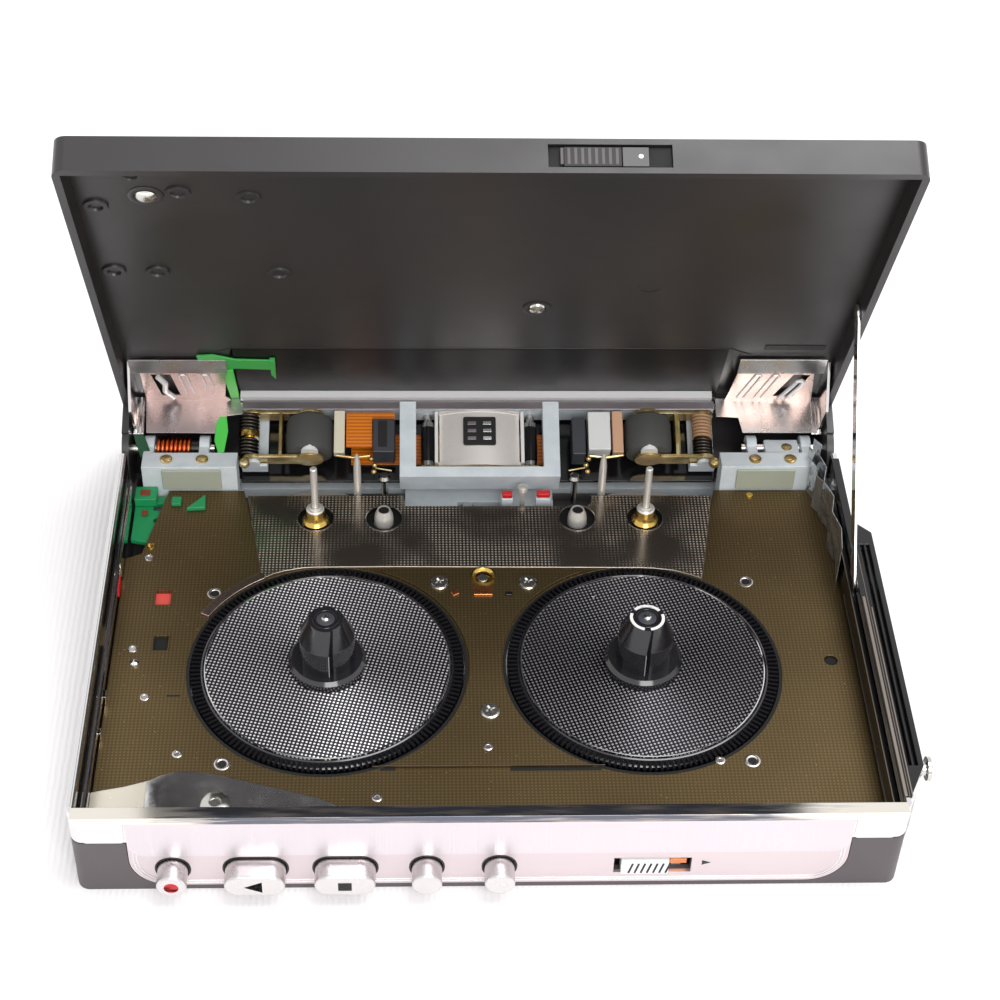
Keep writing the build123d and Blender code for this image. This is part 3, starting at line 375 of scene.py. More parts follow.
# A wound coil: wire along a helix, turned to lie along its pin
coil_tree, wanted, result = new_tree("wound coil", [
    "turns", "coil radius", "wire radius", "coil length", "coil turn", "coil place", "the finish"])
helix = add(coil_tree, "GeometryNodeCurveSpiral", {"Resolution": 20}, {
    "Rotations": wanted.outputs["turns"], "Start Radius": wanted.outputs["coil radius"],
    "End Radius": wanted.outputs["coil radius"], "Height": wanted.outputs["coil length"]})
wire = add(coil_tree, "GeometryNodeCurvePrimitiveCircle", {"Resolution": 8}, {
    "Radius": wanted.outputs["wire radius"]})
wound = add(coil_tree, "GeometryNodeCurveToMesh", {"Fill Caps": True},
            {"Curve": helix, "Profile Curve": wire})
coil_placed = add(coil_tree, "GeometryNodeTransform", {}, {
    "Geometry": wound, "Translation": wanted.outputs["coil place"],
    "Rotation": wanted.outputs["coil turn"]})
coil_real = add(coil_tree, "GeometryNodeRealizeInstances", {}, {"Geometry": coil_placed})
add(coil_tree, "GeometryNodeSetMaterial", {}, {
    "Geometry": coil_real, "Material": wanted.outputs["the finish"]}, into=result.inputs["Geometry"])

# A fastener set at each point of a mesh
fastener_tree, wanted, result = new_tree("fasteners at points",
                                         ["fastener object", "fastener turn", "the finish"])
pattern = add(fastener_tree, "GeometryNodeObjectInfo", {"transform_space": "ORIGINAL"}, {
    "Object": wanted.outputs["fastener object"]})
facing = add(fastener_tree, "FunctionNodeEulerToRotation", {}, {"Euler": wanted.outputs["fastener turn"]})
fasteners_set = add(fastener_tree, "GeometryNodeInstanceOnPoints", {}, {
    "Points": wanted.outputs["Geometry"], "Instance": pattern.outputs["Geometry"], "Rotation": facing})
fasteners_real = add(fastener_tree, "GeometryNodeRealizeInstances", {}, {"Geometry": fasteners_set})
add(fastener_tree, "GeometryNodeSetMaterial", {}, {
    "Geometry": fasteners_real, "Material": wanted.outputs["the finish"]}, into=result.inputs["Geometry"])


def fasteners(name, pattern_bm, places, finish, body, lid=False, down=False, stands_for=()):
    """Sets one turned or stamped fastener at several places, given in millimetres."""
    bmesh.ops.recalc_face_normals(pattern_bm, faces=pattern_bm.faces)
    pattern_bm.transform(Matrix.Scale(MM, 4))
    pattern_piece = as_object(name + "_pattern", pattern_bm)
    points = bpy.data.meshes.new(name)
    carry = LID if lid else Matrix.Identity(4)
    points.from_pydata([carry @ Vector(p) * MM for p in places], [], [])
    turn = (Matrix.Rotation(LID_TURN if lid else 0.0, 4, "X")
            @ Matrix.Rotation(math.pi if down else 0.0, 4, "X")).to_euler()
    piece = grown(name, fastener_tree, {"fastener object": pattern_piece, "fastener turn": tuple(turn)},
                  finish, body, base=points, stands_for=stands_for)
    bpy.data.objects.remove(pattern_piece)
    return piece


# Finishes. Object coordinates come in metres; a finish works in millimetres, so a pattern's
# scale is one over its real size.

def srgb(text):
    """Linear colour of an sRGB hex value."""
    values = [int(text[i:i + 2], 16) / 255 for i in (1, 3, 5)]
    return tuple(v / 12.92 if v <= 0.04045 else ((v + 0.055) / 1.055) ** 2.4 for v in values) + (1.0,)


def begin(name, colour, metallic, roughness, **more):
    """Starts a finish: the material, its tree, its shader and the place on the object in millimetres."""
    made = bpy.data.materials.new(name)
    made.use_nodes = True
    tree = made.node_tree
    shader = tree.nodes["Principled BSDF"]
    shader.inputs["Base Color"].default_value = srgb(colour)
    shader.inputs["Metallic"].default_value = metallic
    shader.inputs["Roughness"].default_value = roughness
    for key, value in more.items():
        shader.inputs[key.replace("_", " ")].default_value = value
    where = add(tree, "ShaderNodeTexCoord")
    place = add(tree, "ShaderNodeMapping", {"Scale": (1 / MM,) * 3}, {"Vector": where.outputs["Object"]})
    return made, tree, shader, place


def noise(tree, place, scale, detail, **more):
    """A cloudy pattern."""
    return add(tree, "ShaderNodeTexNoise", {"Scale": scale, "Detail": detail, **more}, {"Vector": place})


def ranged(tree, value, source=(0.0, 1.0), target=(0.0, 1.0), into=None):
    """Carries a value from one range to another."""
    limits = dict(zip(("From Min", "From Max", "To Min", "To Max"), (*source, *target)))
    return add(tree, "ShaderNodeMapRange", limits, {"Value": value}, into)


def bump(tree, shader, height, strength, depth):
    """Gives the surface a relief; its depth is in millimetres."""
    add(tree, "ShaderNodeBump", {"Strength": strength, "Distance": depth * MM}, {"Height": height},
        shader.inputs["Normal"])


def coloured(tree, shader, low, high, share):
    """Mixes two colours by a share and gives them to the surface."""
    mix = add(tree, "ShaderNodeMix", {"data_type": "RGBA", 6: srgb(low), 7: srgb(high)}, {0: share})
    tree.links.new(mix.outputs[2], shader.inputs["Base Color"])


def moulded(name, colour, roughness, grain, depth, **more):
    """A moulded plastic: mould grain of a size in millimetres, and a gloss that drifts where handled."""
    made, tree, shader, place = begin(name, colour, 0.0, roughness, **more)
    skin = noise(tree, place, 1 / grain, 2.0)
    bump(tree, shader, skin, 0.5, depth)
    worn = noise(tree, place, 1 / 14, 4.0)
    ranged(tree, worn, (0.3, 0.7), (roughness * 0.82, roughness * 1.2), shader.inputs["Roughness"])
    return made


def plated(name, colour, roughness, smear, wave=0.0, **more):
    """A plated or bare metal: smears change its gloss, and a slow wave unsettles its reflections."""
    made, tree, shader, place = begin(name, colour, 1.0, roughness, **more)
    haze = noise(tree, place, 1 / 5, 6.0, Roughness=0.65)
    ranged(tree, haze, (0.4, 0.72), (roughness, roughness + smear), shader.inputs["Roughness"])
    if wave:
        swell = noise(tree, place, 1 / 7, 1.0)
        bump(tree, shader, swell, 1.0, wave)
    return made


# ABS moulded in a spark-eroded tool: satin black, its colour painted a mid grey for the sheen it shows
# where light falls flat on it
satin_black = moulded("satin_black_abs", "#565053", 0.46, 0.4, 0.02)
# Painted sheet of the lid: a softer black with a slight orange peel
lid_black = moulded("lid_black_lacquer", "#262324", 0.38, 0.9, 0.02, Specular_IOR_Level=0.65)
# Ground of the lid's recess: the lid's paint with a smoother relief, painted darker for the shade in the
# recess
lid_recess_shaded = moulded("lid_recess_lacquer_painted_shade", "#151314", 0.42, 0.9, 0.01, Specular_IOR_Level=0.2)
# Polished black ABS of the side housing: near mirror
gloss_black = moulded("gloss_black_abs", "#121113", 0.13, 1.6, 0.01)
# Acetal of the hubs and rims: waxy black with soft highlights
hub_black = moulded("black_acetal", "#151417", 0.17, 0.9, 0.004)
# Painted highlight along the crest of the spindles' fins, paler than the moulding
fin_crest_highlight = moulded("painted_highlight_fin_crest", "#a3a2a6", 0.3, 0.5, 0.004)
# Polished part of the spindles: it takes up the shine of the disc round it
spindle_black = moulded("polished_black_acetal", "#1d1c20", 0.13, 0.9, 0.003, Specular_IOR_Level=0.85)
# Butyl rubber of the pinch rollers: dull grey-black, ground surface
roller_rubber = moulded("ground_rubber", "#4c4c4a", 0.62, 0.16, 0.02)
# Bright chromium plate over steel, smeared where it is handled
chrome = plated("bright_chrome", "#e4e2e2", 0.06, 0.16, 0.05)
# Dull nickel of turned pins and screws
nickel = plated("turned_nickel", "#cfcdc8", 0.16, 0.12)
# Ground and nickelled pins: pale satin, bright from every side
pin_steel = plated("ground_pin_steel", "#f1ede6", 0.3, 0.08, Metallic=0.55)
# Spring steel sheet, bright rolled, and its warmer annealed side
spring_sheet = plated("rolled_spring_steel", "#d3cdcb", 0.22, 0.1, 0.02)
warm_sheet = plated("annealed_spring_steel", "#b39d94", 0.22, 0.1, 0.03)
# The same sheet where it stays grey, duller than the rolled side
grey_sheet = plated("grey_spring_steel", "#bfb5b6", 0.26, 0.1, 0.04)
# Bright nickelled rail: near white with a soft shine
pale_nickel = plated("pale_nickel_plate", "#fbf9f9", 0.3, 0.1, Metallic=0.3)
# Lacquered steel ends of the front rim, a little cream
cream_steel = plated("cream_lacquered_steel", "#efe7d6", 0.22, 0.1, Metallic=0.7)
# Polished brass of bushings and screws
brass = plated("polished_brass", "#d8b45f", 0.16, 0.14)
# Bare copper of contacts
copper = plated("bare_copper", "#d98d5c", 0.25, 0.15)
# Enamelled copper wire: deep orange under clear varnish
wire_enamel = plated("enamelled_copper_wire", "#d2601c", 0.28, 0.1, Coat_Weight=0.6, Coat_Roughness=0.1)
# Blued spring wire
black_wire = plated("blued_spring_wire", "#4a4540", 0.3, 0.15)
# Brown-violet passivated steel behind the head rail
violet_steel = plated("violet_passivated_steel", "#a89fa3", 0.3, 0.12)
# Bare edges of painted steel
bare_edge = plated("bare_steel_edge", "#93897f", 0.35, 0.1)
# Front rim: black chrome with painted reflections: pale streaks along its length, and a painted cream
# reflection towards its ends near the corners
rim_chrome, tree, shader, place = begin("rim_chrome_painted_reflections", "#85888f", 0.95, 0.12)
along = add(tree, "ShaderNodeMapping", {"Scale": (0.1, 1.2, 1.2)}, {"Vector": place})
reflection_streak_noise = noise(tree, along, 1.0, 3.0)
across = add(tree, "ShaderNodeSeparateXYZ", {}, {"Vector": place})
outwards = add(tree, "ShaderNodeMath", {"operation": "ABSOLUTE"}, {0: across.outputs["X"]})
cream_reflection_reach = add(tree, "ShaderNodeMath", {"operation": "MULTIPLY_ADD", 1: 26.0}, {0: reflection_streak_noise, 2: outwards})
# Painted reflection: pale streaks drifting along the rim
reflection_streaks = add(tree, "ShaderNodeMix", {"data_type": "RGBA", 6: srgb("#6b6e77"), 7: srgb("#b5aaa4")},
              {0: ranged(tree, reflection_streak_noise, (0.48, 0.66))})
# Painted reflection: cream towards both ends of the rim
cream_reflection = add(tree, "ShaderNodeMix", {"data_type": "RGBA", 7: srgb("#efe9df")},
             {0: ranged(tree, cream_reflection_reach, (45.0, 53.0)),
              6: reflection_streaks.outputs[2]})
tree.links.new(cream_reflection.outputs[2], shader.inputs["Base Color"])
# Yellow chromate on zinc: gold-brown with a slight rainbow drift
chromate, tree, shader, place = begin("yellow_chromate_zinc", "#b89a66", 0.75, 0.26)
drift = noise(tree, place, 1 / 3.0, 3.0)
tint = add(tree, "ShaderNodeValToRGB", {}, {"Fac": drift}, shader.inputs["Base Color"])
tint.color_ramp.elements[0].position, tint.color_ramp.elements[0].color = 0.35, srgb("#a3875a")
tint.color_ramp.elements[1].position, tint.color_ramp.elements[1].color = 0.65, srgb("#e3d2a8")
middle = tint.color_ramp.elements.new(0.5)
middle.color = srgb("#bda56c")
# Die-cast zinc, tumbled: pale blue-grey with a fine sandy skin
casting, tree, shader, place = begin("tumbled_zinc_casting", "#d3dde3", 0.0, 0.45)
sand = noise(tree, place, 1 / 0.3, 3.0)
bump(tree, shader, sand, 0.6, 0.03)
mottle = noise(tree, place, 1 / 2.5, 3.0)
coloured(tree, shader, "#c8d4db", "#eef3f6", mottle)
# Acetal columns, blocks and small mouldings in their own colours
cream = moulded("cream_acetal", "#ebe3cb", 0.4, 0.5, 0.01)
white_acetal = moulded("white_acetal", "#ededeb", 0.38, 0.5, 0.01)
peach = moulded("peach_acetal", "#dcae8e", 0.4, 0.5, 0.01)
straw = moulded("straw_acetal", "#a3a261", 0.4, 0.5, 0.01)
dark_grey = moulded("dark_grey_acetal", "#3f4146", 0.36, 0.5, 0.01)
green_acetal = moulded("green_acetal", "#1f9a5c", 0.36, 0.5, 0.01)
green_bright = moulded("leaf_green_acetal", "#3fae50", 0.36, 0.5, 0.01)
deep_green = moulded("deep_green_film", "#14512f", 0.3, 0.8, 0.02)
lime = moulded("lime_acetal", "#54d455", 0.35, 0.5, 0.01)
red = moulded("signal_red_acetal", "#d9262b", 0.4, 0.5, 0.01)
coral = moulded("coral_red_acetal", "#e85a52", 0.45, 0.5, 0.01)
tan_wire = moulded("tan_coil_wire", "#b08a68", 0.4, 0.5, 0.01)
# Grey-green rubber of the hinge pads, slightly clear
pad_rubber = moulded("hinge_pad_rubber", "#b4b8a8", 0.42, 0.6, 0.03, Subsurface_Weight=0.2,
                     Subsurface_Scale=0.001)
# Painted shade: the black of a hole that goes on down into the case, put in holes, slots and gaps where no
# light reaches
shade_black = moulded("painted_shade_black", "#050505", 0.7, 0.6, 0.01)
# Printed symbols on the keys: flat black ink
ink = moulded("black_ink", "#1c1a1b", 0.5, 0.3, 0.005)
# Keys: hard-coated white faces on silver-painted sides
key_white = moulded("white_key_lacquer", "#fbfafa", 0.36, 0.4, 0.008)
key_silver = plated("silver_key_paint", "#d9d6d5", 0.26, 0.1)

# Blasted and clear anodised aluminium of the control panel: matte, faintly warm, fine sparkle
panel_silver, tree, shader, place = begin("blasted_anodised_aluminium", "#dbcfd1", 0.8, 0.42)
sparkle = noise(tree, place, 1 / 0.22, 2.0)
bump(tree, shader, sparkle, 0.5, 0.02)

# Hairline-finished aluminium of the band above it: the wheel ran up and down, 0.25 mm streaks
hairline, tree, shader, place = begin("hairline_aluminium", "#ddd6da", 0.95, 0.2)
stretch = add(tree, "ShaderNodeMapping", {"Scale": (4.0, 4.0, 0.02)}, {"Vector": place})
streak = noise(tree, stretch, 1.0, 3.0)
ranged(tree, streak, (0.0, 1.0), (0.16, 0.5), shader.inputs["Roughness"])
bump(tree, shader, streak, 0.6, 0.03)

# Olive-brown lacquer over steel sheet, with a printed mesh: it shines more at a flat angle, and
# dust specks and a slow drift of tone keep it from looking even
plate_lacquer, tree, shader, place = begin("olive_brown_lacquered_steel", "#6e5a38", 0.8, 0.4)
mesh_print = add(tree, "ShaderNodeTexVoronoi", {"voronoi_dimensions": "2D", "Randomness": 0.0,
                                                "Scale": 1 / 0.5}, {"Vector": place})
dust = noise(tree, place, 1 / 0.3, 1.0)
specks = ranged(tree, dust, (0.76, 0.8))
cells = add(tree, "ShaderNodeMix", {"data_type": "RGBA", 6: srgb("#7c6b4c"), 7: srgb("#655437")},
            {0: ranged(tree, mesh_print, (0.15, 0.4))})
age = noise(tree, place, 1 / 22, 3.0)
aged = add(tree, "ShaderNodeMix", {"data_type": "RGBA", "blend_type": "MULTIPLY", 0: 1.0},
           {6: cells.outputs[2],
            7: ranged(tree, age, (0.3, 0.7), (0.8, 1.12))})
dusted = add(tree, "ShaderNodeMix", {"data_type": "RGBA", 7: srgb("#b8a47c")},
             {0: specks, 6: aged.outputs[2]})
tree.links.new(dusted.outputs[2], shader.inputs["Base Color"])
bump(tree, shader, mesh_print, 0.35, 0.01)

# Dark mirror plate with pressed dots 0.5 mm apart: the dots scatter the light, the ground mirrors
dark_mirror, tree, shader, place = begin("dark_mirror_plate", "#8c857c", 0.85, 0.16)
dots = add(tree, "ShaderNodeTexVoronoi", {"voronoi_dimensions": "2D", "Randomness": 0.0,
                                          "Scale": 1 / 0.5}, {"Vector": place})
raised = ranged(tree, dots, (0.2, 0.34), (1.0, 0.0))
worn = noise(tree, place, 1 / 9, 2.0)
kept = add(tree, "ShaderNodeMath", {"operation": "MULTIPLY"}, {
    0: raised, 1: ranged(tree, worn, (0.38, 0.6))})
coloured(tree, shader, "#7a7167", "#ddd3c6", kept)
ranged(tree, kept, (0.0, 1.0), (0.2, 0.6), shader.inputs["Roughness"])
bump(tree, shader, kept, 0.4, 0.03)


# A wave texture of scale 1 repeats every 0.314 mm; dots and cells of a Voronoi texture every 1 mm
WAVE = 0.314


def disc_face(name, x, y, turn, ground, dots_colour):
    """Chromed foil of a reel, with bright pressed dots 0.53 mm apart on a dark mirror that was spun:
    its grooves spread a highlight along each spoke, so it shines in a fan towards the light."""
    made, tree, shader, place = begin(name, ground, 1.0, 0.35, Anisotropic=0.85)
    laid = add(tree, "ShaderNodeMapping", {"vector_type": "TEXTURE", "Location": (x, y, 0.0),
                                           "Rotation": (0.0, 0.0, math.radians(turn))}, {"Vector": place})
    dots = add(tree, "ShaderNodeTexVoronoi", {"voronoi_dimensions": "2D", "Randomness": 0.0,
                                              "Scale": 1 / 0.53}, {"Vector": laid})
    dot = ranged(tree, dots, (0.24, 0.33), (1.0, 0.0))
    coloured(tree, shader, ground, dots_colour, dot)
    ranged(tree, dot, (0.0, 1.0), (0.34, 0.62), shader.inputs["Roughness"])
    ranged(tree, dot, (0.0, 1.0), (1.0, 0.75), shader.inputs["Metallic"])
    spoke = add(tree, "ShaderNodeVectorMath", {"operation": "SUBTRACT", 1: (x, y, 0.0)}, {0: place})
    grain = add(tree, "ShaderNodeVectorTransform", {"vector_type": "VECTOR", "convert_from": "OBJECT",
                                                    "convert_to": "WORLD"}, {"Vector": spoke})
    add(tree, "ShaderNodeVectorMath", {"operation": "NORMALIZE"}, {0: grain}, shader.inputs["Tangent"])
    bump(tree, shader, dot, 0.5, 0.05)
    return made


disc_left_face = disc_face("dotted_foil_left", -REEL_X, REEL_Y, -14, "#3d3b41", "#fbf9fb")
# The right reel's foil is the same as the left's, its ground and dots painted darker for the shade on it
disc_right_face_shaded = disc_face("dotted_foil_right_painted_shade", REEL_X, REEL_Y, 17, "#323136", "#a8a5a9")

# Polyimide film of the flat cable: clear amber over copper tracks 0.55 mm apart
flex, tree, shader, place = begin("amber_polyimide_film", "#e07812", 0.0, 0.25, Coat_Weight=0.4)
shut = add(tree, "ShaderNodeMapping", {"Rotation": (-LID_TURN, 0.0, 0.0)}, {"Vector": place})
tracks = add(tree, "ShaderNodeTexWave", {"bands_direction": "Z", "Scale": WAVE / 0.55}, {"Vector": shut})
coloured(tree, shader, "#cf6208", "#f08f24", tracks.outputs["Fac"])

# Lapped permalloy of the tape head: pale mirror with fine polishing lines
permalloy, tree, shader, place = begin("lapped_permalloy", "#faf4ee", 0.45, 0.3)
lapped = add(tree, "ShaderNodeMapping", {"Scale": (0.3, 6.0, 6.0)}, {"Vector": place})
lines = noise(tree, lapped, 1.0, 2.0)
ranged(tree, lines, (0.0, 1.0), (0.22, 0.42), shader.inputs["Roughness"])

# Clear protective film, crumpled over the right wall: grey with hard shine
film, tree, shader, place = begin("crumpled_film", "#c6c9cc", 0.8, 0.13)
crumple = noise(tree, place, 1 / 1.6, 2.0, Roughness=0.4)
bump(tree, shader, crumple, 0.8, 0.6)

# Cotton backdrop: white, with the weave's upright ribs about 0.8 mm apart; the case's
# neighbourhood keeps its shadow, and far off the cloth glows until it meets the white behind it
cloth, tree, shader, place = begin("cotton_backdrop", "#f3f1f2", 0.0, 0.9)
ribs = add(tree, "ShaderNodeTexWave", {"bands_direction": "X", "Scale": WAVE / 0.8, "Distortion": 1.2,
                                       "Detail": 1.0}, {"Vector": place})
bump(tree, shader, ribs.outputs["Fac"], 0.3, 0.3)
lift = add(tree, "ShaderNodeLightPath")
shader.inputs["Emission Color"].default_value = (1.0, 0.99, 0.995, 1.0)
seen = add(tree, "ShaderNodeMath", {"operation": "MAXIMUM"},
           {0: lift.outputs["Is Camera Ray"], 1: lift.outputs["Is Glossy Ray"]})
reach = add(tree, "ShaderNodeVectorMath", {"operation": "LENGTH"}, {0: place})
glow = ranged(tree, reach.outputs["Value"], (130.0, 420.0), (0.125, 1.0))
add(tree, "ShaderNodeMath", {"operation": "MULTIPLY"}, {0: seen, 1: glow},
    shader.inputs["Emission Strength"])


# Case and front

carried("bottom_shell", satin_black, 0.25)
carried("side_frame", chrome, 0.3)
carried("front_panel", panel_silver, 0.12)
carried("side_stud", nickel, 0.12)
carried("side_housing", gloss_black, 0.12)

rim_line = [(-37.28, 14.82), (-39.05, 14.82), (-39.1, 14.6), (-38.88, 13.35), (-38.5, 13.25)]
bm = bmesh.new()
bent(bm, rim_line, (-51.4, 51.4), 0.12)
shape("front_rim", bm, rim_chrome, "base", edge=0.1)
bm = bmesh.new()
plate(bm, rounded((-44.9, 44.9), (7.05, 13.5), (2.0, 0.3)), (38.5, 38.8), place=FRONT)
shape("front_band", bm, hairline, "base", edge=0.09)

# Fine bright line round the lower panel, a shallow double step
bm = bmesh.new()
for grow in (0.0, 0.42):
    outer = rounded((-44.5 + grow, 44.5 - grow), (1.15 + grow, 7.6), (4.6 - grow, 0.2))
    inner = rounded((-44.32 + grow, 44.32 - grow), (1.33 + grow, 7.55), (4.42 - grow, 0.15))
    plate(bm, outer, (38.48, 38.56), [inner], FRONT)
shape("panel_line", bm, chrome, "base", edge=0.03)

# Corner pieces of the frame beside the band
bm = bmesh.new()
for side in (-1, 1):
    x = sorted((side * 45.2, side * 50.3))
    plate(bm, rounded(x, (9.5, 13.4), 0.5), (38.5, 38.66), place=FRONT)
shape("front_corner_pieces", bm, chrome, "base", edge=0.05)

# Painted shade in the gaps round the keys: a black lining of the holes that the keys come out of
bm = bmesh.new()
for x, half in ((-39.7, 2.25), (-29.4, 4.15), (-18.2, 4.15), (-8.0, 2.25), (1.1, 2.25)):
    outer = rounded((x - half, x + half), (KEY_Z - 2.3, KEY_Z + 2.3), 2.2, 8)
    inner = rounded((x - half + 0.25, x + half - 0.25), (KEY_Z - 2.05, KEY_Z + 2.05), 1.95, 8)
    plate(bm, outer, (37.2, 38.53), [inner], FRONT)
shape("key_linings", bm, ink, "base")

# Keys and their printed symbols
for name, mark in (("rec_button", "dot"), ("play_button", "triangle"), ("stop_button", "square"),
                   ("forward_button", ""), ("rewind_button", "")):
    carried(name, key_silver, 0.1)
    low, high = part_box(name)
    x = (low.x + high.x) / 2 / MM
    half = (high.x - low.x) / 2 / MM - 0.42
    bm = bmesh.new()
    plate(bm, rounded((x - half, x + half), (KEY_Z - 1.48, KEY_Z + 1.48), 1.47, 8), (41.44, 41.495),
          place=FRONT)
    shape(name + "_face", bm, key_white, name, edge=0.02)
    if mark:
        bm = bmesh.new()
        outline = {"dot": circle(x, KEY_Z, 0.92, 28), "square": [(x - 0.85, 3.3), (x + 0.85, 3.3),
                                                              (x + 0.85, 4.9), (x - 0.85, 4.9)],
                   "triangle": [(x - 1.35, KEY_Z), (x + 0.95, 3.05), (x + 0.95, 5.15)]}[mark]
        plate(bm, outline, (41.49, 41.5), place=FRONT)
        shape(name + "_mark", bm, red if mark == "dot" else ink, name)

# Lock slide: ribbed knob in a slot, with painted shade on the slot's floor
bm = bmesh.new()
plate(bm, [(15.5, 2.65), (25.3, 2.65), (25.3, 5.55), (15.5, 5.55)], (36.2, 36.5), place=FRONT)
shape("lock_slot_floor", bm, shade_black, "base")
carried("lock_slider", key_white, 0.15)
slider_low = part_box("lock_slider")[0]
grown("lock_ribs", ribs_tree, {
    "ribs count": 7, "rib place": (17.6 * MM, slider_low.y, 4.0 * MM), "step place": (0.78 * MM, 0, 0),
    "rib size place": (0.24 * MM, 0.16 * MM, 1.9 * MM), "rib turn": (0.0, math.radians(14), 0.0)},
    ink, "lock_slider")
bm = bmesh.new()
block(bm, (22.7, 24.9), (-37.6, -37.2), (3.2, 4.1))
shape("lock_contact", bm, copper, "base", edge=0.1)
bm = bmesh.new()
plate(bm, [(26.6, 4.1), (26.6, 5.0), (27.7, 4.55)], (38.5, 38.53), place=FRONT)
shape("lock_arrow", bm, ink, "base")

# Right rim: black like the housing, with long thin metal edges, and a bright front corner
bm = bmesh.new()
block(bm, (50.95, 52.06), (-36.6, 26.0), (14.7, 14.83))
shape("right_rim_cover", bm, gloss_black, "base", edge=0.05)
bm = bmesh.new()
for x, z, width, rear in ((50.26, 12.6, 0.07, 12.0), (50.24, 9.1, 0.1, 4.0), (50.9, 13.6, 0.09, 0.0),
                          (51.3, 14.87, 0.2, -2.0), (51.75, 14.87, 0.05, 10.0), (52.1, 14.88, 0.09, -4.0)):
    block(bm, (x - width, x + width), (-36.4, rear), (z - 0.07, z + 0.04))
shape("right_rim_edges", bm, bare_edge, "base", edge=0.03)
bm = bmesh.new()
plate(bm, [(52.02, -36.42), (54.42, -31.42), (54.42, -31.3), (52.02, -36.2)], (9.6, 14.82))
shape("housing_corner", bm, chrome, "base", edge=0.05)
bm = bmesh.new()
block(bm, (-51.99, -51.45), (-37.2, 27.0), (14.72, 14.83))
shape("left_rim_cover", bm, chrome, "base", edge=0.05)

# Plates of the mechanism

carried("mechanism_plate", plate_lacquer, 0.06)
carried("centre_plate", plate_lacquer, 0.06)
# Mirror plate under the cassette's edge, drawn as the photo shows it: it lies 1.16 mm higher than its
# solid, and its front edge reaches up to 2.6 mm further forward
bm = bmesh.new()
head_front = [(-30.94, 8.87), (-30.1, 9.27), (-29.5, 9.7), (-28.07, 10.24), (-26.5, 10.64), (-25.3, 10.9),
              (-23.5, 11.02), (-11.6, 11.08), (2.5, 10.95), (22.37, 10.76), (24.15, 10.67), (27.03, 10.24),
              (29.46, 9.35), (30.95, 8.6)]
head_rear = [(31.9, 13.4), (34.0, 25.6), (16.4, 25.75), (16.0, 23.46), (-10.9, 23.5), (-11.2, 25.85),
             (-33.86, 25.7)]
pin_holes = [circle(x, PIN_ROW_Y, 2.62, 40) for x in (-CAPSTAN_X, -LOCATING_X, LOCATING_X, CAPSTAN_X)]
plate(bm, head_front + head_rear, (7.62, 7.76), pin_holes)
shape("head_plate_mirror", bm, dark_mirror, "base", stands_for=("head_plate",))
bm = bmesh.new()
tube(bm, [(x, y, 7.74) for x, y in head_front], 0.1, 6)
tube(bm, [(x, y, 7.72) for x, y in ((30.95, 8.6), (31.9, 13.4), (34.0, 25.6))], 0.06, 6)
tube(bm, [(x, y, 7.72) for x, y in ((-30.94, 8.87), (-33.86, 25.7))], 0.06, 6)
shape("head_plate_cut_edge", bm, bare_edge, "base")
carried("rear_casting", casting, 0.25)
carried("block_pads", pad_rubber, 0.15)
carried("hinge_pins", nickel, 0.05)
carried("pivot_posts", nickel, 0.1)
# Capstans: a shaft on a grooved flywheel; the shaft is 0.2 mm thinner in radius than the solid's
for name, x in (("left", -CAPSTAN_X), ("right", CAPSTAN_X)):
    bm = bmesh.new()
    turned(bm, [(0.0, 0.9), (0.5, 0.9), (0.5, 1.4), (10.4, 1.4), (10.5, 1.5), (10.5, 1.85), (10.1, 1.95),
                (10.1, 2.75), (10.5, 2.85), (10.5, 3.5), (10.4, 3.6), (0.5, 3.6), (0.5, 17.45),
                (0.38, 17.6), (0.0, 17.6)],
           at(x, PIN_ROW_Y, 0), 64)
    shape(f"capstan_rotor_{name}_shaft", bm, pin_steel, f"capstan_{name}",
          stands_for=(f"capstan_rotor_{name}",))
carried("motor_pulley", brass, 0.08)
carried("idler_arm", brass, 0.1)
carried("idler_gear", white_acetal, 0.15)
carried("motor_can", nickel, 0.3)
carried("drive_belt", roller_rubber, 0.05)
carried("circuit_board", deep_green, 0.05)
carried("board_parts", dark_grey, 0.15)
carried("battery_cell", chrome, 0.2)
carried("cell_contacts", spring_sheet, 0.05)
carried("earphone_jack", hub_black, 0.15)
carried("safety_slide", coral, 0.1)

# Cut edges of the raised centre plate catch the light
bm = bmesh.new()
block(bm, (-15.05, 15.05), (-25.46, -25.38), (7.92, 8.03))
block(bm, (-15.05, 15.05), (9.74, 9.8), (7.92, 8.01))
shape("centre_plate_edges", bm, bare_edge, "base")
# Painted shadow in the gaps in front of the raised centre plate
bm = bmesh.new()
block(bm, (-14.0, -12.0), (-25.9, -25.46), (7.6, 7.63))
block(bm, (2.8, 14.6), (-26.0, -25.46), (7.6, 7.63))
shape("centre_plate_gap", bm, shade_black, "base")

# Corner plate: a pale left wing and a mirror flange that sweeps to the right
bm = bmesh.new()
sweep = [(-50.6, -37.2), (-19.4, -37.2), (-19.6, -31.6), (-21.4, -30.6), (-25.5, -29.3), (-30.2, -27.9),
         (-34.2, -26.7), (-37.4, -26.15), (-40.0, -26.1), (-42.0, -26.7), (-43.4, -27.5), (-46.2, -28.4),
         (-50.6, -29.3)]
plate(bm, sweep, (7.62, 7.98))
shape("corner_plate_sweep", bm, chrome, "base", edge=0.12, stands_for=("corner_plate",))
bm = bmesh.new()
plate(bm, [(-50.5, -37.2), (-43.6, -37.2), (-43.6, -27.75), (-46.3, -28.6),
           (-50.5, -29.5)], (7.95, 8.05))
shape("corner_plate_pale_wing", bm, cream_steel, "base", edge=0.04)

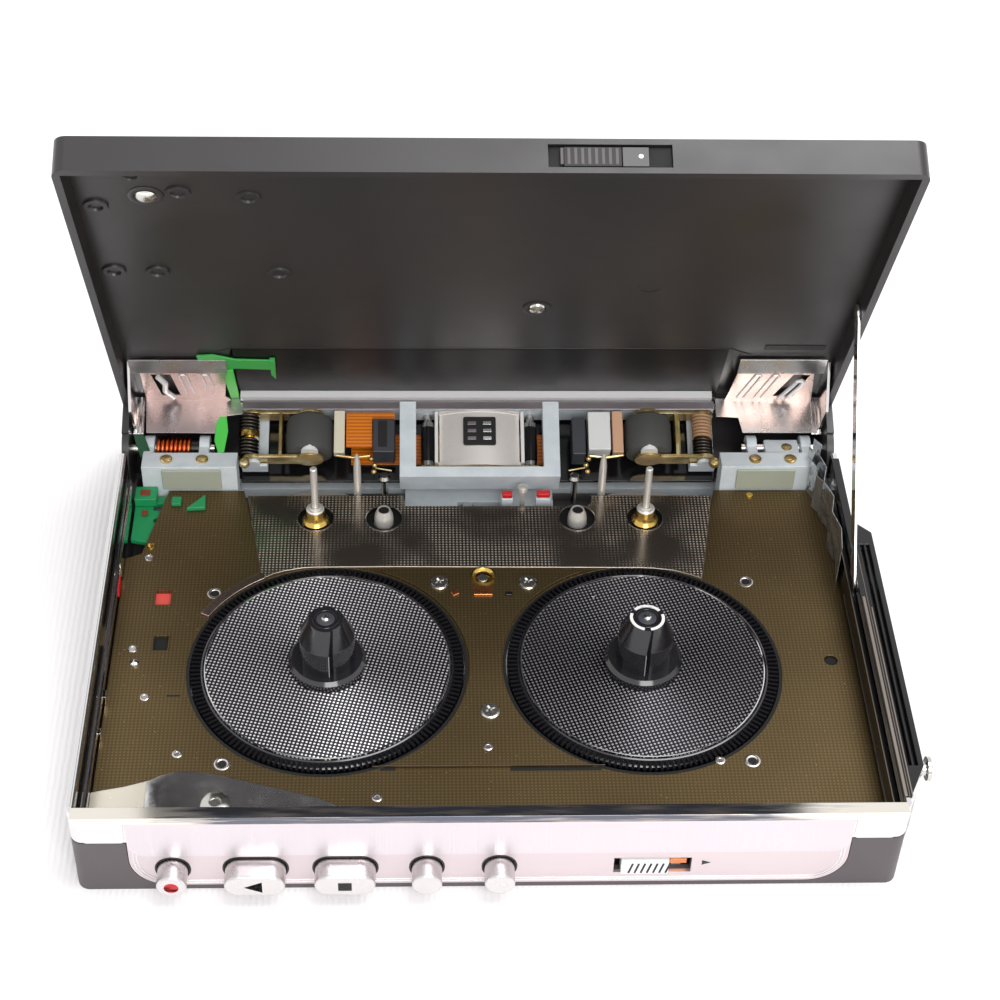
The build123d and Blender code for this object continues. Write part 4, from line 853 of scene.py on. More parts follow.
# Curved lip beside the left reel, and rings of painted shade in the gaps where the reels sit
bm = bmesh.new()
plate(bm, sector(-REEL_X, REEL_Y, 18.95, 20.35, 119, 151, 20), (7.55, 7.98))
shape("reel_guard_lip", bm, warm_sheet, "base", edge=0.15)
bm = bmesh.new()
for x in (-REEL_X, REEL_X):
    plate(bm, circle(x, REEL_Y, 18.9, 72), (7.15, 7.58), [circle(x, REEL_Y, 18.5, 72)])
shape("reel_hole_edges", bm, shade_black, "base")

# Windows and holes through the mechanism plate
bm = bmesh.new()
plate(bm, rounded((-45.75, -43.05), (3.55, 6.85), 0.4), (7.58, 7.72),
      [rounded((-45.5, -43.3), (3.8, 6.6), 0.3)])
plate(bm, rounded((-45.2, -42.8), (-4.95, -1.75), 0.3), (7.58, 7.7),
      [rounded((-45.0, -43.0), (-4.75, -1.95), 0.2)])
shape("window_edges", bm, plate_lacquer, "base", edge=0.04)
# Painted shade under a window and in a hole and a slot of the mechanism plate
bm = bmesh.new()
block(bm, (-45.1, -42.9), (-4.9, -1.9), (7.02, 7.1))
turned(bm, [(0.0, 7.1), (0.85, 7.1), (0.85, 7.2), (0.0, 7.2)], at(47.1, -7.0, 0), 24)
block(bm, (-42.4, -40.6), (-13.0, -12.75), (7.59, 7.62))
shape("dark_openings", bm, shade_black, "base")
bm = bmesh.new()
plate(bm, rounded((-45.6, -43.2), (3.6, 6.8), 0.5), (6.55, 6.97))
shape("record_tab_window", bm, coral, "safety_slide", edge=0.15)

# Screws: domed heads with a cross recess
bm = bmesh.new()
plate(bm, circle(0, 0, 1.1, 28), (0.12, 0.42), [cross(0, 0, 0.66, 0.17, 0.5)])
plate(bm, circle(0, 0, 1.1, 28), (0.0, 0.12))
turned(bm, [(1.1, 0.02), (1.32, 0.02), (1.32, 0.1), (1.1, 0.2)], at(0, 0, 0), 28, closed=True)
fasteners("plate_cross_screws", bm, [(-6.1, 7.5, CENTRE_TOP), (6.3, 7.5, CENTRE_TOP),
                                     (0.4, -16.2, CENTRE_TOP)], nickel, "base",
          stands_for=("plate_screws",))
bm = bmesh.new()
turned(bm, [(0.0, 0.0), (1.9, 0.0), (1.9, 0.18), (1.55, 0.42), (0.8, 0.5), (0.72, 0.28), (0.0, 0.28)],
       at(-34.7, -31.4, 7.98), 40)
shape("corner_screw", bm, nickel, "base")

# Eyelets and rivets
eyelet_places = [(-37.3, 6.0), (-34.3, -24.6), (37.1, 8.0), (34.3, -24.6)]
rivet_places = [(-47.7, -4.4), (-45.3, -13.1), (-40.2, -22.9), (-14.3, -30.3), (-47.1, 13.1), (30.1, -24.5)]
bm = bmesh.new()
turned(bm, [(0.62, 0.0), (1.08, 0.0), (1.06, 0.06), (0.88, 0.12), (0.7, 0.1), (0.6, 0.03)], at(0, 0, 0), 28,
       closed=True)
fasteners("rolled_eyelets", bm, [(x, y, PLATE_TOP) for x, y in eyelet_places], spring_sheet, "base",
          stands_for=("plate_eyelets",))
# Painted shade in the eyelets' bores
bm = bmesh.new()
for x, y in eyelet_places:
    turned(bm, [(0.0, 7.6), (0.55, 7.6), (0.55, 7.63), (0.0, 7.63)], at(x, y, 0), 20)
shape("eyelet_bores", bm, shade_black, "base")
bm = bmesh.new()
turned(bm, [(0.0, 0.0), (0.68, 0.0), (0.66, 0.07), (0.5, 0.14), (0.36, 0.12), (0.3, 0.05), (0.0, 0.05)],
       at(0, 0, 0), 24)
fasteners("plate_rivets", bm, [(x, y, PLATE_TOP) for x, y in rivet_places] + [(0.0, -22.3, CENTRE_TOP)],
          spring_sheet, "base")
bm = bmesh.new()
turned(bm, [(0.0, 0.0), (0.7, 0.0), (0.62, 0.3), (0.35, 0.5), (0.0, 0.56)], at(-47.2, -7.1, 7.6), 24)
shape("plate_dome", bm, chrome, "base")
bm = bmesh.new()
turned(bm, [(0.0, 0.0), (0.62, 0.0), (0.5, 0.3), (0.0, 0.42)], at(-47.0, 15.4, 7.6), 20)
turned(bm, [(0.0, 0.0), (0.6, 0.0), (0.5, 0.3), (0.0, 0.42)], at(39.7, 25.7, 7.6), 20)
# Rolled bush that the idler turns in
turned(bm, [(1.15, 7.9), (1.75, 8.0), (1.82, 8.25), (1.55, 8.32), (1.3, 8.1), (1.15, 8.0)],
       at(0.1, 8.7, 0), 36, closed=True)
shape("brass_bush_and_rivets", bm, brass, "base")
bm = bmesh.new()
block(bm, (-1.35, 1.35), (5.0, 6.6), (7.9, 8.3))
lug_turn = Matrix.Translation((-3.9, 5.4, 0)) @ Matrix.Rotation(0.5, 4,
        "Z") @ Matrix.Translation((3.9, -5.4, 0))
block(bm, (-4.4, -3.4), (5.0, 5.9), (7.9, 8.3), lug_turn)
shape("copper_lugs", bm, copper, "base", edge=0.12)
bm = bmesh.new()
block(bm, (3.1, 4.1), (4.9, 5.6), (7.95, 8.35))
shape("dark_lug", bm, hub_black, "base", edge=0.12)

# Reels: toothed rims, finned spindles and dotted discs

reels = {"left": (-REEL_X, -84.0, disc_left_face), "right": (REEL_X, -93.0, disc_right_face_shaded)}
for name, (x, fin, face) in reels.items():
    y = REEL_Y
    bm = bmesh.new()
    turned(bm, [(0.85, 4.85), (12.7, 4.85), (12.7, 5.95), (3.5, 5.95), (3.5, 7.0), (17.6, 7.0), (17.5, 7.3),
                (17.1, 7.7), (16.95, 8.08), (16.75, 8.14), (16.6, 8.0), (0.85, 8.0)], at(x, y, 0), 120,
                closed=True)
    turned(bm, [(0.85, 8.0), (5.2, 8.0), (5.2, 9.35), (4.75, 9.85), (0.85, 9.85)], at(x, y, 0), 48,
           closed=True)
    sections = []
    for level, reach, lean in ((9.8, 1.0, 0), (13.85, 1.0, 0), (13.95, 0.985, 0), (16.75, 0.66, 10),
                               (17.0, 0.62, 10)):
        ring = []
        for i in range(72):
            # A thin fin, a groove behind it, then a face that swells towards the next fin
            share = (i % 24) / 24
            radius = 3.9 if i % 24 == 0 else 3.2 if i % 24 == 1 else 3.5 + 0.36 * share
            angle = math.radians(fin + 5 * i + lean)
            ring.append((x + radius * reach * math.cos(angle), y + radius * reach * math.sin(angle), level))
        sections.append(ring)
    lofted(bm, sections)
    shape(f"reel_hub_{name}_spindle", bm, spindle_black, f"reel_{name}", soft=24,
                stands_for=(f"reel_hub_{name}",))
    bm = bmesh.new()
    for k in range(3):
        angle = math.radians(fin + 120 * k)
        tube(bm, [(x + 3.88 * math.cos(angle), y + 3.88 * math.sin(angle), z) for z in (9.9, 13.8)], 0.07,
             6)
    shape(f"spindle_fin_crests_{name}", bm, fin_crest_highlight, f"reel_{name}")
    bm = bmesh.new()
    turned(bm, [(1.5, 17.0), (1.75, 17.0), (1.7, 17.06), (1.55, 17.06)], at(x, y, 0), 36, closed=True)
    shape(f"spindle_mouth_{name}", bm, hub_black, f"reel_{name}")
    bm = bmesh.new()
    turned(bm, [(0.0, 17.02), (1.2, 17.02), (1.1, 17.05), (0.0, 17.06)], at(x, y, 0), 32)
    shape(f"spindle_washer_{name}", bm, dark_grey, f"reel_{name}")
    bm = bmesh.new()
    turned(bm, [(0.0, 17.03), (0.6, 17.03), (0.52, 17.25), (0.3, 17.38), (0.0, 17.42)], at(x, y, 0), 24)
    shape(f"spindle_pin_{name}", bm, nickel, f"reel_{name}")
    grown(f"reel_teeth_{name}", teeth_tree, {
        "teeth count": 150, "wheel radius": 17.68 * MM, "tooth length": 1.34 * MM, "tooth width": 0.36 * MM,
        "tooth height": 0.95 * MM, "wheel place": (x * MM, y * MM, 7.5 * MM)},
        hub_black, f"reel_{name}")
    grown(f"reel_gear_teeth_{name}", teeth_tree, {
        "teeth count": 84, "wheel radius": 12.75 * MM, "tooth length": 0.5 * MM, "tooth width": 0.4 * MM,
        "tooth height": 1.0 * MM, "wheel place": (x * MM, y * MM, 5.4 * MM)},
        hub_black, f"reel_{name}")
    bm = bmesh.new()
    turned(bm, [(5.2, 8.02), (16.5, 8.02), (16.5, 8.24), (5.2, 8.24)], at(x, y, 0), 120, closed=True)
    shape(f"reel_disc_{name}_foil", bm, face, f"reel_{name}",
          stands_for=(f"reel_disc_{name}",))
    bm = bmesh.new()
    turned(bm, [(16.32, 8.2), (16.5, 8.2), (16.5, 8.28), (16.36, 8.3)], at(x, y, 0), 120, closed=True)
    dot = (12.9, 12.8) if name == "left" else (-7.9, 12.6)
    turned(bm, [(0.0, 8.2), (0.3, 8.2), (0.22, 8.32), (0.0, 8.36)], at(x + dot[0] * 0.75, y + dot[1], 0),
           12)
    shape(f"disc_edge_{name}", bm, chrome, f"reel_{name}")
# Three white arcs on the right-hand spindle's top
bm = bmesh.new()
for start in (-82, 38, 158):
    plate(bm, sector(REEL_X, REEL_Y, 1.92, 2.32, start, start + 98), (17.0, 17.1))
shape("spindle_white_arcs", bm, white_acetal, "reel_right", edge=0.02)

# Capstans: a brass flange, 2 mm taller than its solid, a steel collar, the hole's ground in painted shade,
# and the hole's edge
bm = bmesh.new()
for x in (-CAPSTAN_X, CAPSTAN_X):
    turned(bm, [(0.7, 6.2), (1.9, 6.2), (1.95, 7.6), (1.7, 7.9), (1.45, 8.2), (1.36, 8.8), (1.3, 9.6),
                (0.7, 9.6)],
           at(x, PIN_ROW_Y, 0), 40, closed=True)
shape("capstan_flanges", bm, brass, "base", stands_for=("capstan_bushings",))
bm = bmesh.new()
for x in (-CAPSTAN_X, CAPSTAN_X):
    turned(bm, [(0.6, 9.5), (1.28, 9.5), (1.3, 9.75), (1.15, 9.92), (0.8, 9.95), (0.75, 10.15),
                (0.6, 10.15)],
           at(x, PIN_ROW_Y, 0), 36, closed=True)
shape("capstan_collars", bm, pin_steel, "base")
bm = bmesh.new()
for x, inner in ((-CAPSTAN_X, 1.98), (CAPSTAN_X, 1.98), (-LOCATING_X, 1.45), (LOCATING_X, 1.45)):
    plate(bm, circle(x, PIN_ROW_Y, 3.6, 40), (6.85, 6.95), [circle(x, PIN_ROW_Y, inner, 40)])
shape("pin_hole_grounds", bm, shade_black, "base")
bm = bmesh.new()
for x in (-CAPSTAN_X, CAPSTAN_X, -LOCATING_X, LOCATING_X):
    turned(bm, [(2.55, 7.7), (2.72, 7.7), (2.7, 7.84), (2.58, 7.86)], at(x, PIN_ROW_Y, 0), 48, closed=True)
shape("pin_hole_edges", bm, spring_sheet, "base")

# Barrel-shaped locating pins with painted shade in their recessed tops, and the tall pointed posts behind,
# 1.5 mm beside their solids
bm = bmesh.new()
for x in (-LOCATING_X, LOCATING_X):
    turned(bm, [(0.0, 6.3), (1.2, 6.3), (1.38, 6.7), (1.4, 7.8), (1.3, 8.6), (0.95, 9.5), (0.8, 9.5),
                (0.8, 9.3), (0.0, 9.3)], at(x, PIN_ROW_Y, 0), 36)
for x in (-17.9, 17.9):
    turned(bm, [(0.0, 6.4), (0.56, 6.4), (0.55, 12.6), (0.46, 13.6), (0.2, 15.0), (0.0, 15.1)],
           at(x, 26.75, 0), 24)
shape("locating_pins_and_posts", bm, pin_steel, "base", stands_for=("plate_pins",))
bm = bmesh.new()
for x in (-LOCATING_X, LOCATING_X):
    turned(bm, [(0.0, 9.32), (0.78, 9.32), (0.7, 9.4), (0.0, 9.4)], at(x, PIN_ROW_Y, 0), 24)
shape("locating_pin_tops", bm, shade_black, "base")

# Rear of the case: pins and small parts behind the head plate

bm = bmesh.new()
for x, y, half in ((4.0, 25.8, 0.75), (9.3, 25.9, 1.0)):
    block(bm, (x - half, x + half), (y - 0.5, y + 0.5), (7.5, 8.3))
shape("red_switch_tips", bm, red, "base", edge=0.2)
bm = bmesh.new()
for x, half in ((4.0, 0.85), (9.3, 1.1)):
    block(bm, (x - half, x + half), (25.2, 26.4), (3.8, 7.5))
shape("switch_blocks", bm, casting, "base", edge=0.15)
bm = bmesh.new()
turned(bm, [(0.0, 3.8), (0.4, 3.8), (0.4, 9.0), (0.75, 9.2), (0.75, 9.8), (0.4, 10.0), (0.0, 10.0)],
       at(6.2, 25.4, 0), 20)
shape("white_switch_pin", bm, pin_steel, "base")
bm = bmesh.new()
turned(bm, [(0.0, 3.8), (1.1, 3.8), (1.1, 5.2), (0.7, 5.6), (0.0, 5.6)], at(-1.8, 25.9, 0), 24)
turned(bm, [(0.0, 3.8), (0.45, 3.8), (0.45, 8.2), (0.0, 8.4)], at(-14.0, 28.5, 0), 20)
turned(bm, [(0.0, 3.8), (0.45, 3.8), (0.45, 8.2), (0.0, 8.4)], at(14.0, 28.5, 0), 20)
shape("rear_studs", bm, nickel, "base")
bm = bmesh.new()
for x in (-14.0, 14.0):
    turned(bm, [(0.0, 8.0), (0.65, 8.2), (0.9, 8.7), (0.65, 9.2), (0.0, 9.4)], at(x, 28.6, 0), 20)
shape("rear_stud_balls", bm, nickel, "base")

# Slotted screws on the hinge blocks, 1.1 mm further out than their solids
bm = bmesh.new()
turned(bm, [(0.0, 0.0), (0.9, 0.0), (0.9, 0.22), (0.65, 0.38), (0.0, 0.38)], at(0, 0, 0), 28)
block(bm, (-0.7, 0.7), (-0.12, 0.12), (0.37, 0.41))
fasteners("block_slotted_screws", bm, [(s * (35.4 + d), 29.0, 11.9) for s in (-1, 1) for d in (5.1, 10.3)],
          chromate, "base", stands_for=("block_screws",))

# Saddle over the right-hand hinge pin, with a screw: a guess that only the scene has
bm = bmesh.new()
block(bm, (42.3, 47.4), (30.6, 34.0), (9.0, 11.45))
shape("hinge_saddle", bm, casting, "base", edge=0.25)
bm = bmesh.new()
turned(bm, [(0.0, 11.4), (0.8, 11.4), (0.8, 11.52), (0.55, 11.6), (0.0, 11.6)], at(45.6, 32.2, 0), 24)
shape("saddle_screw", bm, chromate, "base")

# Copper-coloured coil on the left hinge pin, its black end and white tab
grown("hinge_coil", coil_tree, {
    "turns": 7.6, "coil radius": 1.5 * MM, "wire radius": 0.29 * MM, "coil length": 4.8 * MM,
    "coil turn": (0.0, math.pi / 2, 0.0), "coil place": (-47.4 * MM, HINGE_Y * MM, HINGE_Z * MM)},
    wire_enamel, "base", stands_for=("hinge_spring",))
bm = bmesh.new()
turned(bm, [(0.9, 0.0), (1.5, 0.0), (1.5, 1.3), (0.9, 1.3)], at(-42.4, HINGE_Y, HINGE_Z, "right"), 28,
       closed=True)
shape("coil_end_collar", bm, hub_black, "base", edge=0.1)
bm = bmesh.new()
block(bm, (-41.0, -40.3), (31.9, 33.0), (9.4, 11.6))
shape("coil_tab", bm, white_acetal, "base", edge=0.1)

# Green lever and its neighbours under the cut-away corner
carried("green_lever", green_acetal, 0.12)
bm = bmesh.new()
block(bm, (-50.2, -47.0), (24.4, 27.2), (6.9, 8.3))
block(bm, (-44.8, -43.4), (23.6, 25.2), (7.6, 8.2))
plate(bm, [(-42.6, 22.6), (-39.8, 22.8), (-40.0, 25.6)], (7.6, 8.3))
shape("green_latch_parts", bm, green_acetal, "base", edge=0.15)
bm = bmesh.new()
block(bm, (-49.4, -48.0), (25.2, 26.4), (8.25, 8.45))
block(bm, (-49.0, -48.2), (22.3, 23.2), (6.95, 7.35))
shape("rust_red_windows", bm, moulded("rust_red_acetal", "#8a3a20", 0.45, 0.5, 0.01), "base",
      edge=0.06)
bm = bmesh.new()
block(bm, (-51.0, -50.4), (5.2, 8.1), (7.7, 9.2))
shape("red_wall_slide", bm, red, "base", edge=0.12)

# Inner walls of the well: bright rail beside a black one, with steps
bm = bmesh.new()
block(bm, (-50.97, -50.7), (-36.8, -8.0), (11.6, 12.3))
block(bm, (-50.97, -50.7), (-5.0, 26.0), (12.0, 12.9))
shape("left_wall_lining", bm, gloss_black, "base", edge=0.08)
bm = bmesh.new()
block(bm, (-50.95, -50.55), (-36.8, 26.0), (7.65, 9.3))
block(bm, (-50.6, -50.4), (9.0, 25.0), (7.7, 10.4))
block(bm, (-50.9, -50.1), (-14.5, -13.2), (7.7, 9.2))
block(bm, (-50.9, -50.1), (-20.6, -19.6), (7.7, 9.0))
shape("left_wall_rail", bm, chrome, "base", edge=0.08)
bm = bmesh.new()
block(bm, (50.3, 50.95), (-36.8, 19.3), (7.7, 12.6))
shape("right_wall_lining", bm, gloss_black, "base", edge=0.15)
# Film crumpled between the right hinge block and the wall
bm = bmesh.new()
folds = [(48.3, 29.6), (49.0, 28.4), (48.2, 26.6), (48.9, 24.9), (48.5, 23.4), (49.3, 22.0)]
bent(bm, folds, (7.7, 13.9), 0.1, Matrix.Identity(4))
folds = [(49.1, 30.6), (50.0, 29.2), (49.3, 27.0), (50.0, 24.4), (49.2, 21.4), (50.2, 18.2), (49.5, 15.0),
         (50.3, 11.6), (49.8, 7.6)]
bent(bm, folds, (7.7, 14.6), 0.1, Matrix.Identity(4))
shape("wall_film", bm, film, "base", edge=0.03)

# Lid

carried("lid_shell", lid_black, 0.3)
carried("lid_stay", chrome, 0.08)
carried("latch_slider", ink, 0.15)
bm = bmesh.new()
turned(bm, [(0.75, -0.2), (1.6, -0.2), (1.6, 0.1), (1.5, 0.34), (0.95, 0.34), (0.8, 0.12)], at(0, 0, 0), 32,
       closed=True)
fasteners("lid_ejector_rings", bm, [(x, y, LID_INSIDE) for x, y in (
    (-43.6, -32.4), (-48.7, -24.9), (-38.3, -28.2), (-29.8, -27.0), (-48.7, -7.9), (-43.1, -7.6),
    (-27.2, -7.3))], lid_black, "lid", lid=True, down=True)
bm = bmesh.new()
turned(bm, [(0.0, 0.0), (1.35, 0.0), (1.35, 0.2), (1.1, 0.5), (0.5, 0.66), (0.0, 0.68)],
       at(-42.3, -27.3, LID_INSIDE, "down"), 32)
turned(bm, [(0.0, 0.0), (1.2, 0.0), (1.05, 0.3), (0.5, 0.42), (0.0, 0.42)],
       at(7.2, 2.7, LID_INSIDE, "down"), 32)
turned(bm, [(0.0, 0.0), (1.1, 0.0), (1.1, 0.3), (0.0, 0.3)], at(50.55, 1.0, 16.6, "right"), 28)
shape("lid_screw_heads", bm, nickel, "lid", lid=True, stands_for=("lid_fasteners",))
bm = bmesh.new()
turned(bm, [(1.5, 0.0), (2.2, 0.0), (2.2, 0.1), (1.9, 0.2), (1.5, 0.14)],
       at(-42.3, -27.3, LID_INSIDE, "down"), 36, closed=True)
turned(bm, [(1.25, 0.0), (2.0, 0.0), (2.0, 0.12), (1.7, 0.2), (1.3, 0.1)],
       at(7.2, 2.7, LID_INSIDE, "down"), 36, closed=True)
plate(bm, sector(22.0, -3.5, 1.35, 1.5, 20, 190, 18), (17.92, 18.0))
# Edge line of the recess, with its slanted ends, and the recess's ground, painted darker for its shade
tube(bm, [(-38.6, 17.2, 18.0), (-35.6, 15.3, 18.0), (35.6, 15.3, 18.0), (38.6, 17.2, 18.0)], 0.09, 6)
shape("screw_seats", bm, lid_black, "lid", lid=True)
bm = bmesh.new()
plate(bm, [(-35.3, 15.7), (35.3, 15.7), (35.3, 29.4), (-35.3, 29.4)], (17.96, 18.0))
shape("recess_ground", bm, lid_recess_shaded, "lid", lid=True)

# Latch: ribbed knob and plain slide with a white dot, on a seat of painted shade
bm = bmesh.new()
block(bm, (6.5, 21.1), (-38.0, -37.75), (15.7, 18.6))
shape("latch_seat", bm, shade_black, "lid", lid=True)
grown("latch_ribs", ribs_tree, {
    "ribs count": 9, "rib place": tuple(LID @ Vector((8.0, -38.3, 17.15)) * MM),
    "step place": (0.82 * MM, 0, 0), "rib size place": (0.34 * MM, 0.3 * MM, 2.2 * MM),
    "rib turn": (LID_TURN, 0.0, 0.0)}, satin_black, "latch")
bm = bmesh.new()
block(bm, (15.15, 18.4), (-38.35, -38.0), (15.8, 18.5))
shape("latch_dark_slide", bm, gloss_black, "latch", lid=True, edge=0.1)
bm = bmesh.new()
turned(bm, [(0.0, 38.35), (0.3, 38.35), (0.3, 38.37), (0.0, 38.37)], at(17.4, 0, 17.2, "front"), 16)
shape("latch_white_dot", bm, white_acetal, "latch", lid=True)

# Bare place of the label
bm = bmesh.new()
block(bm, (40.3, 49.0), (14.2, 15.6), (17.9, 18.0))
shape("label_place", bm, ink, "lid", lid=True, edge=0.04)

# Brackets that hold the cassette's corners: bent sheet with a folded lip, a slot with a spring tongue,
# pressed ribs, a stepped front and a folded side
bm = bmesh.new()
plate(bm, [(-49.0, 21.5), (-36.6, 21.5), (-37.4, 29.8), (-36.6, 31.0), (-49.1, 31.0)], (17.1, 17.35),
      [[(-47.5, 22.3), (-44.7, 22.3), (-43.9, 29.4), (-46.6, 29.4)]])
shape("corner_bracket_left", bm, warm_sheet, "lid", lid=True, edge=0.05,
      stands_for=("holder_brackets",))
bm = bmesh.new()
bent(bm, [(21.6, 17.2), (20.6, 17.3), (18.4, 17.7)], (-50.3, -36.4), 0.25)
plate(bm, [(-49.2, 17.35), (-34.6, 17.35), (-34.8, 14.8), (-37.1, 14.5), (-37.8, 11.7), (-48.9, 11.8)],
      (-31.2, -30.95), place=FRONT)
shape("corner_bracket_left_folds", bm, grey_sheet, "lid", lid=True, edge=0.05)
bm = bmesh.new()
plate(bm, [(37.3, 21.4), (48.5, 21.4), (49.6, 31.0), (36.6, 31.0), (36.9, 28.0)], (17.1, 17.35),
      [[(45.6, 22.2), (48.0, 22.2), (46.6, 29.6), (43.6, 29.6)]])
shape("corner_bracket_right", bm, warm_sheet, "lid", lid=True, edge=0.05)
bm = bmesh.new()
bent(bm, [(21.5, 17.2), (20.6, 17.3), (18.0, 17.7)], (37.2, 49.9), 0.25)
plate(bm, [(35.2, 17.35), (49.8, 17.35), (49.4, 11.8), (39.0, 11.8), (38.5, 14.2), (35.2, 14.4)],
      (-31.2, -30.95), place=FRONT)
shape("corner_bracket_right_folds", bm, spring_sheet, "lid", lid=True, edge=0.05)
# Pressed ribs: low bright loops; a spring tongue on the left and a hairpin on the right
bm = bmesh.new()
for x, foot, lean in ((-42.9, 28.6, 0.5), (-39.7, 26.2, 0.4), (40.4, 30.0, -1.6), (43.0, 30.0, -1.6)):
    tube(bm, [(x - 0.5 + lean, foot, 17.06), (x - 0.5, 22.6, 17.02), (x - 0.25, 22.15, 17.02),
              (x + 0.25, 22.15, 17.02), (x + 0.5, 22.6, 17.02), (x + 0.5 + lean, foot, 17.06)], 0.13, 6)
tube(bm, [(-46.5, 22.6, 16.9), (-45.6, 24.4, 16.7), (-45.9, 27.0, 16.75), (-44.9, 29.6, 16.9)], 0.42, 8)
tube(bm, [(44.4, 29.6, 16.7), (45.9, 25.0, 16.7), (46.3, 23.6, 16.7), (46.9, 23.2, 16.7),
          (47.3, 23.7, 16.7), (47.1, 24.8, 16.7), (45.6, 29.6, 16.7)], 0.3, 8)
shape("bracket_ribs_and_springs", bm, pale_nickel, "lid", lid=True)
bm = bmesh.new()
for side in (-1, 1):
    low, high = sorted((side * 49.3, side * 50.9))
    plate(bm, [(low, 17.6), (high, 17.6), (high, 11.6), (low, 11.6)], (-31.35, -31.1), place=FRONT)
    for k in range(3):
        x = side * (49.5 + 0.6 * k)
        tube(bm, [(x, 31.0, 17.5), (x, 31.0, 11.7)], 0.16, 6)
    plate(bm, [(24.0, 12.0), (31.2, 12.0), (31.2, 17.9), (19.5, 17.9)], sorted((side * 50.2, side * 50.6)),
          place=SIDE)
shape("bracket_side_folds", bm, chrome, "lid", lid=True, edge=0.04)
bm = bmesh.new()
plate(bm, [(-50.8, 11.5), (-49.2, 11.5), (-48.0, 8.4), (-49.6, 8.0)], (-31.3, -31.1), place=FRONT)
shape("bracket_green_flap", bm, deep_green, "lid", lid=True, edge=0.03)
bm = bmesh.new()
plate(bm, [(50.2, 15.2), (51.2, 15.8), (51.3, 13.0), (49.8, 12.2)], (-31.6, -31.4), place=FRONT)
shape("bracket_bent_flap", bm, violet_steel, "lid", lid=True, edge=0.03)

# Green levers behind the left bracket and at its foot
bm = bmesh.new()
plate(bm, [(-40.5, 17.2), (-38.0, 16.9), (-35.0, 18.3), (-30.0, 18.6), (-29.9, 21.6), (-35.3, 21.2),
           (-37.4, 22.4), (-40.3, 20.4)], (17.5, 17.85))
plate(bm, [(-30.2, 18.0), (-29.4, 18.0), (-29.6, 24.2), (-30.2, 22.8)], (17.2, 17.85))
shape("green_upper_lever", bm, green_bright, "lid", lid=True, edge=0.12)
bm = bmesh.new()
plate(bm, [(-37.3, 21.6), (-35.6, 21.4), (-35.4, 31.0), (-36.7, 31.0), (-37.0, 26.0)], (17.36, 17.6))
shape("green_lever_stem", bm, lime, "lid", lid=True, edge=0.1)
bm = bmesh.new()
plate(bm, [(-38.7, 13.2), (-38.2, 14.3), (-37.2, 14.3), (-36.9, 12.0), (-37.4, 8.6), (-38.3, 8.5),
           (-38.9, 10.4)],
      (-30.93, -30.7), place=FRONT)
shape("lime_lever", bm, lime, "lid", lid=True, edge=0.1)

# Head group on the lid

carried("head_base", gloss_black, 0.12)
carried("carriage_frame", casting, 0.3)
bm = bmesh.new()
block(bm, (-35.2, 34.6), (29.62, 29.9), (16.75, 18.0))
block(bm, (-35.2, 34.6), (29.62, 30.6), (16.75, 16.9))
shape("head_rail", bm, pale_nickel, "lid", lid=True, edge=0.12)
bm = bmesh.new()
block(bm, (-34.9, 34.9), (30.2, 30.38), (15.2, 16.6))
shape("head_rail_band", bm, violet_steel, "lid", lid=True, edge=0.08)

# Terminals beside the head, each moulded in its own colour; the straw-coloured one has no solid
for name, x, z, y, finish in (
        ("cream_column", (-21.4, -19.8), (8.2, 15.0), (30.0, 31.6), cream),
        ("dark_terminal_left", (-15.7, -12.5), (8.2, 13.6), (29.8, 34.0), dark_grey),
        ("dark_terminal_right", (13.6, 15.6), (7.9, 13.8), (29.9, 34.0), dark_grey),
        ("white_terminal", (16.0, 19.3), (8.6, 14.7), (29.8, 33.0), white_acetal),
        ("peach_column", (19.6, 21.2), (8.3, 15.0), (30.2, 31.8), peach),
        ("straw_column", (29.2, 30.1), (8.6, 15.2), (33.5, 34.2), straw)):
    bm = bmesh.new()
    block(bm, x, y, z)
    shape(name, bm, finish, "carriage", lid=True, edge=0.18,
          stands_for=("terminal_blocks",) if name == "cream_column" else ())
bm = bmesh.new()
block(bm, (-12.6, -12.42), (29.9, 33.9), (8.4, 13.4))
block(bm, (-14.9, -13.6), (29.72, 29.84), (9.0, 13.2))
shape("dark_terminal_faces", bm, ink, "carriage", lid=True, edge=0.04)
bm = bmesh.new()
plate(bm, [(-19.6, 9.3), (-15.8, 9.3), (-15.8, 14.2), (-19.6, 14.2)], (-30.7, -30.6), place=FRONT)
block(bm, (-19.6, -12.5), (30.9, 31.0), (13.9, 15.0))
shape("flex_front", bm, flex, "carriage", lid=True)
# Small beads and wires that hang from the terminals, and the brass drops of the arms' pins
bm = bmesh.new()
for x, z in ((-15.9, 7.0), (-15.4, 6.0), (-15.5, 5.0), (15.9, 7.0), (15.5, 6.0), (15.7, 5.0)):
    turned(bm, [(0.0, -0.4), (0.3, -0.3), (0.42, 0.0), (0.3, 0.3), (0.0, 0.4)], at(x, 29.6, z), 14)
for side in (-1, 1):
    tube(bm, [(side * 21.0, 29.6, 7.6), (side * 18.5, 29.5, 7.2), (side * 16.1, 29.6, 7.5)], 0.22, 8)
    tube(bm, [(side * 15.3, 29.6, 5.6), (side * 12.9, 29.5, 5.1)], 0.12, 6)
    turned(bm, [(0.0, 0.0), (0.7, 0.15), (0.8, 0.6), (0.6, 1.1), (0.0, 1.3)],
           at(side * 34.3, 30.2, 6.4, "front"), 20)
shape("bead_leads", bm, chromate, "carriage", lid=True)
for name, x in (("left", -24.9), ("right", 24.9)):
    bm = bmesh.new()
    turned(bm, [(0.0, 8.15), (1.25, 8.15), (1.3, 9.2), (1.05, 9.35), (0.0, 9.4)], at(x, 29.95, 0), 28)
    shape(f"roller_foot_{name}", bm, white_acetal, f"pinch_arm_{name}", lid=True)
carried("flex_cable", flex, 0.03)
carried("pinch_arm_left", chromate, 0.12)
